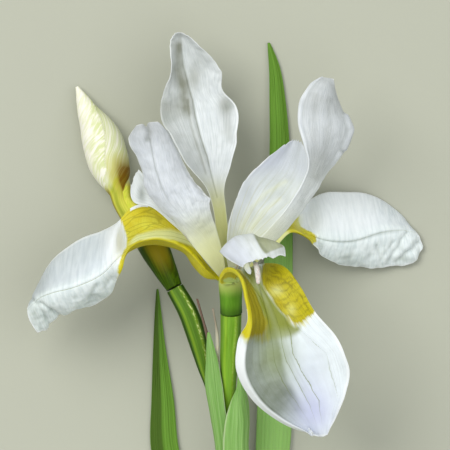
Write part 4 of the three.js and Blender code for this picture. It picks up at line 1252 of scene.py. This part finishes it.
def add_stalks():
    def tube_paint(s, angle, place, share):
        top = ramp(0.35, 0.72, s)
        foot_shade = ramp(0.25, 0, s)
        side_shade = ramp(0.5, 1, np.abs(np.cos(angle)))
        return {"pale": 0.85 * top, "shade": 0.65 * foot_shade + 0.3 * side_shade, "yellow": 0.2 * top}

    tube_body = profile([3.35, 3.3, 3.35, 3.5, 3.65])
    tube_line = [[0.9, -13.4, -3.5], [0.8, -8.7, -2], TUBE_TOP, TUBE_TOP + DOME_HEIGHT * ALONG]

    def tube_radius(s, angle):
        up_to_rim = np.minimum(s / RIM_SHARE, 1)
        dome = np.sqrt(np.clip(1 - (np.maximum(s - RIM_SHARE, 0) / (1 - RIM_SHARE)) ** 2, 0.04, 1))
        return tube_body(up_to_rim) * (1 + 0.02 * np.cos(3 * angle)) * dome

    rod("perianth_tube", tube_line, tube_radius, (60, 72), TUBE, paint=tube_paint)
    open_line = [
        [0.9, -46.6, -14.2], [0.3, -38, -11.3], [0.3, -28, -8.1], [0.8, -20, -5.6], [0.9, -13.8, -3.65],
    ]
    open_body = profile([1.7, 1.8, 2.1, 2.5, 2.7, 2.9, 3.0, 3.05])
    rod("ovary_open", open_line, ovary_radius(open_body), (120, 96), STALK,
        paint=lambda s, angle, place, share: ovary_tints(angle, 0.0, 0.2))
    bud_line = [
        [-2.3, -46.2, -15.3], [-4.8, -38, -15.4], [-6.9, -30.6, -15], [-9.2, -21.6, -14.3],
        [-12, -13.5, -14.2], [-16, -6.2, -14.6],
    ]
    bud_body = profile([1.2, 1.3, 1.5, 2.1, 2.7, 2.9, 2.8, 2.6])
    rod("ovary_bud", bud_line, ovary_radius(bud_body), (120, 96), STALK,
        paint=lambda s, angle, place, share: ovary_tints(angle, 0.58, 0.9 * ramp(0.25, 0.5, s)))


STEM_RADIUS = 3.5
STEM_SHARE = 0.965  # the dressed stem's radius, as a share of the solid's
STEM_REST = TABLE_Z + STEM_RADIUS * math.cos(math.pi / 12)  # its axis where it lies on the table


def add_stem():
    line = [
        [4.5, -130, STEM_REST], [4.5, -122, STEM_REST], [4.4, -114, STEM_REST + 0.2], [4, -100, -28.8],
        [3, -82, -25], [1.6, -62, -19.2], [0.3, -47, -14.6],
    ]

    def radius(s, angle):
        return STEM_RADIUS * STEM_SHARE * (1 + 0.012 * np.cos(14 * angle))

    rod("stem", line, radius, (160, 84), STALK, paint=stalk_paint)


def add_bud():
    body = profile([2.55, 3.6, 4.5, 4.1, 3.1, 3.4, 5.2, 6.2, 6.2, 5.3, 3.5, 1.9, 0.5])
    line = [
        [-16.2, -5.9, -14.65], [-18.9, -0.6, -15.4], [-22.5, 6.3, -16.6], [-27, 13.2, -18.6],
        [-31.6, 19.5, -21], [-32.8, 23.6, -22.4], [-34.6, 28.1, -24.2], [-36.3, 32.6, -26.3],
        [-37.6, 37.2, -27.8], [-39.5, 41.8, -28.8], [-41.9, 46.3, -29.9], [-44.1, 50.9, -30.9],
        [-45.8, 54.8, -31.6],
    ]

    # The bud's biggest petal wraps it, and its free edge winds round: shares of the length, and angles.
    edge_shares = [0.38, 0.42, 0.45, 0.5, 0.58, 0.67, 0.75, 0.83, 0.9, 1]
    edge_angles = [3.6, 3.1, 2.45, 1.85, 1.6, 1.4, 1.15, 0.8, 0.2, -0.8]
    wrap = 4.0  # how far round the bud that petal reaches from its edge
    edge_height = 0.26
    body_share = 0.985  # leaves room for the edges, which stand proud of the body

    def past_edge(s, angle):
        return np.mod(angle - np.interp(s, edge_shares, edge_angles), 2 * math.pi)

    def radius(s, angle):
        past = past_edge(s, angle)
        outer = ramp(0, 0.05, past) * ramp(wrap, wrap - 1.5, past)
        second = ramp(wrap, wrap + 0.05, past) * ramp(6.28, 5.4, past)
        petals = ramp(0.36, 0.44, s) * ramp(1, 0.9, s)
        pleats = 0.035 * np.sin(46 * s + 2.5 * past) * petals
        return body(s) * body_share + (edge_height * outer + 0.6 * edge_height * second + pleats) * petals

    def paint(s, angle, place, share):
        past = past_edge(s, angle)
        in_big = past < wrap
        funnel = ramp(0.24, 0.17, s)
        neck = ramp(0.17, 0.24, s) * ramp(0.47, 0.4, s)
        right = ramp(-0.2, 0.5, np.cos(angle))
        lower_right = 0.45 * right * ~in_big * ramp(0.6, 0.5, s) * ramp(0.3, 0.36, s)
        brown = ramp(0.15, 0.85, np.cos(angle - 0.15)) * bell(s, 0.425, 0.085) * ~in_big
        halo = ramp(-0.3, 0.4, np.cos(angle - 0.35)) * bell(s, 0.42, 0.1) * ~in_big
        left_edge = 0.75 * neck * ramp(0.75, 0.98, -np.cos(angle))
        left_edge = left_edge + 0.55 * neck * ramp(0.6, 0.95, np.cos(angle)) * ramp(0.28, 0.36, s)
        stripe = 0.5 * neck * bell(angle, 2.15, 0.32)
        return {
            "green": np.clip(funnel + stripe, 0, 1),
            # Painted light: a yellow-olive glow on the funnel's upper side.
            "glow": 0.75 * bell(s, 0.145, 0.055) * ramp(0.5, 1, np.sin(angle + 0.2)),
            "yellow": np.clip(neck + 0.35 * lower_right + 0.8 * halo, 0, 1),
            "ochre": np.clip(1.3 * brown + 0.5 * halo + left_edge, 0, 0.97),
            # Painted shade on the right side.
            "shade": 0.2 * right * ~in_big + 0.2 * ramp(0.6, 1, np.cos(angle)),
            "near_edge": np.where(in_big, 0.65 * ramp(1.3, 0.3, past), 0.55),
            "fan": np.where(in_big, s * 1.6 + 0.10 * past, s * 0.9 + 0.35 * past),
            "run": np.where(in_big, past, s * 2),
        }

    rod("bud", line, radius, (240, 128), BUD, paint=paint)


# Spathes, dry bracts and leaves


SPATHE_THICK, BRACT_THICK, LEAF_THICK = 0.5, 0.35, 0.6


def green_blade_paint(shaded, pale_margin, pale_foot=0.0):
    """Paint with painted shade on one side of the rib, the right one or, if shaded is below zero, the left
    one, and on the under side, with a thin pale margin and a foot that may be paler, painted light."""

    def paint(u, v, place):
        edge = pale_margin * ramp(0.92, 0.985, np.abs(v))
        # Painted light: the foot may be paler, where the flower shades it.
        pale = np.maximum(edge, pale_foot * ramp(0.68, 0.5, u))
        # Painted shade on one half.
        half_in_shade = abs(shaded) * ramp(-0.03, 0.03, v * np.sign(shaded))
        return {"pale": (pale, edge), "shade": (half_in_shade, 0.25), "yellow": (0.05, 0.05)}

    return paint


def ribbed(count, height):
    """Ribs along a green blade, which fade out at its tip."""
    return lambda u, v, place: height * np.cos(count * math.pi * v) * ramp(1, 0.9, u)


def add_spathes():
    left = [
        [[-2.6, -68, -23.4], [-1.8, -68, -17.6], [3.2, -68, -16.2]],
        [[-3.4, -54.6, -18.5], [-2.2, -54.6, -13.2], [2, -54.6, -12.2]],
        [[-5.4, -43.5, -14.5], [-3.4, -43.5, -10], [-0.6, -43.5, -8.7]],
        [[-6.9, -35, -11.6], [-4.4, -35, -8.4], [-1.7, -35, -7.4]],
        [[-6.5, -27, -9.6], [-5, -27, -7.4], [-3.2, -27, -6.6]],
        [[-6.2, -19.5, -6.4], [-5.8, -19.3, -6.1], [-5.4, -19.5, -6]],
    ]
    front = [
        [[-0.6, -66, -14.9], [5.8, -66, -15.6], [7.4, -66, -22.6]],
        [[-1.5, -54.6, -10.8], [4.2, -54.6, -11], [5.9, -54.6, -17.4]],
        [[-0.8, -46, -7.6], [4.4, -46, -7.6], [6.3, -46, -13]],
        [[0.9, -40, -6.3], [3.8, -40, -5.8], [6.1, -40, -9.5]],
        [[2.6, -36, -5.6], [3.7, -36, -5.3], [4.9, -36, -6.5]],
        [[3.1, -32.3, -4.8], [3.5, -32.1, -4.7], [3.9, -32.3, -4.8]],
    ]
    for name, stations in (("spathe_left", left), ("spathe_front", front)):
        blade(name, stations, (140, 40), SPATHE_THICK, SPATHE, "spathe", lift=ribbed(5, 0.06),
              paint=green_blade_paint(0.12, 0.7))


BRACT_TIP = 0.3  # how wide a dry bract ends, as a share of its width
BRACT_FOLD = 0.1  # how far its margins lie under its rib


def add_dry_bract(name, width, line, paleness=0.0):
    """A dry sliver along a line, pale in its middle stretch."""
    last = len(line) - 1
    stations = []
    for i, (x, y, z) in enumerate(line):
        half = width / 2 * (1 - (1 - BRACT_TIP) * (i / last) ** 2)
        stations.append([[x - half, y, z - BRACT_FOLD], [x, y, z], [x + half, y, z - BRACT_FOLD]])

    def lift(u, v, place):
        return 0.1 * np.sin(14 * u) + 0.08 * np.cos(4 * math.pi * v)

    def paint(u, v, place):
        pale = paleness * ramp(0.1, 0.3, u) * (1 - 0.6 * ramp(0.6, 0.85, u))
        return {"pale": (pale, pale)}

    blade(name, stations, (60, 12), BRACT_THICK, BRACT, "bract", lift=lift, paint=paint)


def add_dry_bracts():
    left = [[-4.5, -33, -10.2], [-4.8, -26, -9], [-6.2, -20.4, -8.4], [-9.3, -9.3, -8.6]]
    right = [[-3, -34, -10.6], [-3.2, -28, -8.2], [-3.3, -20, -6.4], [-4.5, -12.1, -4.4]]
    add_dry_bract("bract_dry_left", 1.4, left)
    add_dry_bract("bract_dry_right", 1.2, right, paleness=0.85)


def add_leaves():
    tall = [
        [[3.6, -98, -23.1], [9.3, -98, -28.4], [3.6, -98, -33.4]],
        [[3.6, -92, -21.6], [9.1, -92, -27.1], [4.2, -92, -32.6]],
        [[5.4, -84, -20.6], [9, -84, -24.2], [9.2, -84, -30]],
        [[8, -70, -23], [11.9, -70, -26], [15.4, -70, -30.5]],
        [[8.4, -54.6, -28.5], [13.6, -54.6, -28.6], [18.8, -54.6, -32]],
        [[9.8, -20, -31.2], [14.8, -20, -30.2], [19.4, -20, -32.6]],
        [[11.4, 11, -31.6], [15.8, 11, -30.4], [19.6, 11, -32.4]],
        [[12.6, 35, -32], [16.2, 35, -31.2], [18.8, 35, -32.6]],
        [[12.6, 50.5, -32.4], [15.5, 50.5, -31.9], [17.4, 50.5, -32.9]],
        [[12.5, 60.5, -32.9], [14.4, 60.5, -32.6], [15.7, 60.5, -33.1]],
        [[12, 68, -33.2], [12.4, 68.2, -33.1], [12.8, 68, -33.2]],
    ]
    short = [
        [[0.2, -112, -32.6], [0.9, -112, -26.8], [4.4, -112, -25.6]],
        [[-3.6, -100, -31.6], [-1.8, -100, -26.2], [1.6, -100, -23.6]],
        [[-14.6, -80, -32.4], [-10.8, -80, -28.6], [-6, -80, -27.2]],
        [[-20.6, -66, -33], [-16.4, -66, -31], [-11.6, -66, -30.6]],
        [[-23.4, -54.6, -33], [-19.6, -54.6, -32], [-14.9, -54.6, -32.4]],
        [[-23.2, -40, -33], [-20.2, -40, -32.2], [-16.4, -40, -32.6]],
        [[-22.5, -22, -33], [-20.9, -22, -32.5], [-19.3, -22, -32.8]],
        [[-21.7, -6.7, -33.2], [-21.4, -6.5, -33.1], [-21.1, -6.7, -33.2]],
    ]
    for name, rows, shaded, pale_foot in (("leaf_tall", tall, 0.10, 0.75), ("leaf_short", short, -0.85, 0.0)):
        blade(name, rows, (240, 48), LEAF_THICK, LEAF, "leaf", lift=ribbed(9, 0.05),
              paint=green_blade_paint(shaded, 0.5, pale_foot))


# Stage


FLOOR_REACH = 4.0  # metres


def add_stage():
    mesh = bpy.data.meshes.new("floor")
    corners = [(FLOOR_REACH * x, FLOOR_REACH * y, 0) for x, y in ((-1, -1), (1, -1), (1, 1), (-1, 1))]
    mesh.from_pydata(corners, [], [(0, 1, 2, 3)])
    mesh.materials.append(floor_material())
    floor = bpy.data.objects.new("floor", mesh)
    bpy.context.scene.collection.objects.link(floor)


def add_light(name, place, size, power, tint):
    """A soft square light that looks at the flower's heart."""
    lamp = bpy.data.lights.new(name, "AREA")
    lamp.size = size
    lamp.energy = power
    lamp.color = tint
    light = bpy.data.objects.new(name, lamp)
    light.location = place
    light.rotation_euler = Vector(HEART * MM - np.array(place)).to_track_quat("-Z", "Y").to_euler()
    light.visible_camera = False
    bpy.context.scene.collection.objects.link(light)


def add_lights():
    add_light("key", (-0.55, 0.5, 1.15), 0.8, 12, (1.0, 0.995, 0.975))
    add_light("fill", (0.55, -0.1, 1.25), 1.4, 8, (0.98, 0.99, 1.0))
    world = bpy.data.worlds.new("studio")
    world.use_nodes = True
    background = world.node_tree.nodes["Background"]
    background.inputs["Color"].default_value = (0.95, 0.97, 0.97, 1)
    background.inputs["Strength"].default_value = 0.45
    bpy.context.scene.world = world
    bpy.context.scene.view_settings.view_transform = "Standard"


def add_camera():
    """Straight above the flower, with a long lens, framed as the photograph is."""
    lens = bpy.data.cameras.new("camera")
    lens.sensor_width = SENSOR
    lens.lens = SENSOR * CAMERA_HEIGHT / (PHOTO_PX * MM_PER_PX)
    lens.clip_end = 20
    camera = bpy.data.objects.new("camera", lens)
    middle = PHOTO_PX / 2
    aim = HEART + MM_PER_PX * np.array([middle - HEART_PX[0], HEART_PX[1] - middle, 0])
    camera.location = (aim + [0, 0, CAMERA_HEIGHT]) * MM
    bpy.context.scene.collection.objects.link(camera)
    bpy.context.scene.camera = camera


add_camera()
add_lights()
add_stage()
add_fall_left()
add_fall_right()
add_fall_front()
add_standard_back()
add_standard_left()
add_standard_right()
add_style_left()
add_style_right()
add_style_front()
add_stamens()
add_stalks()
add_stem()
add_bud()
add_spathes()
add_dry_bracts()
add_leaves()
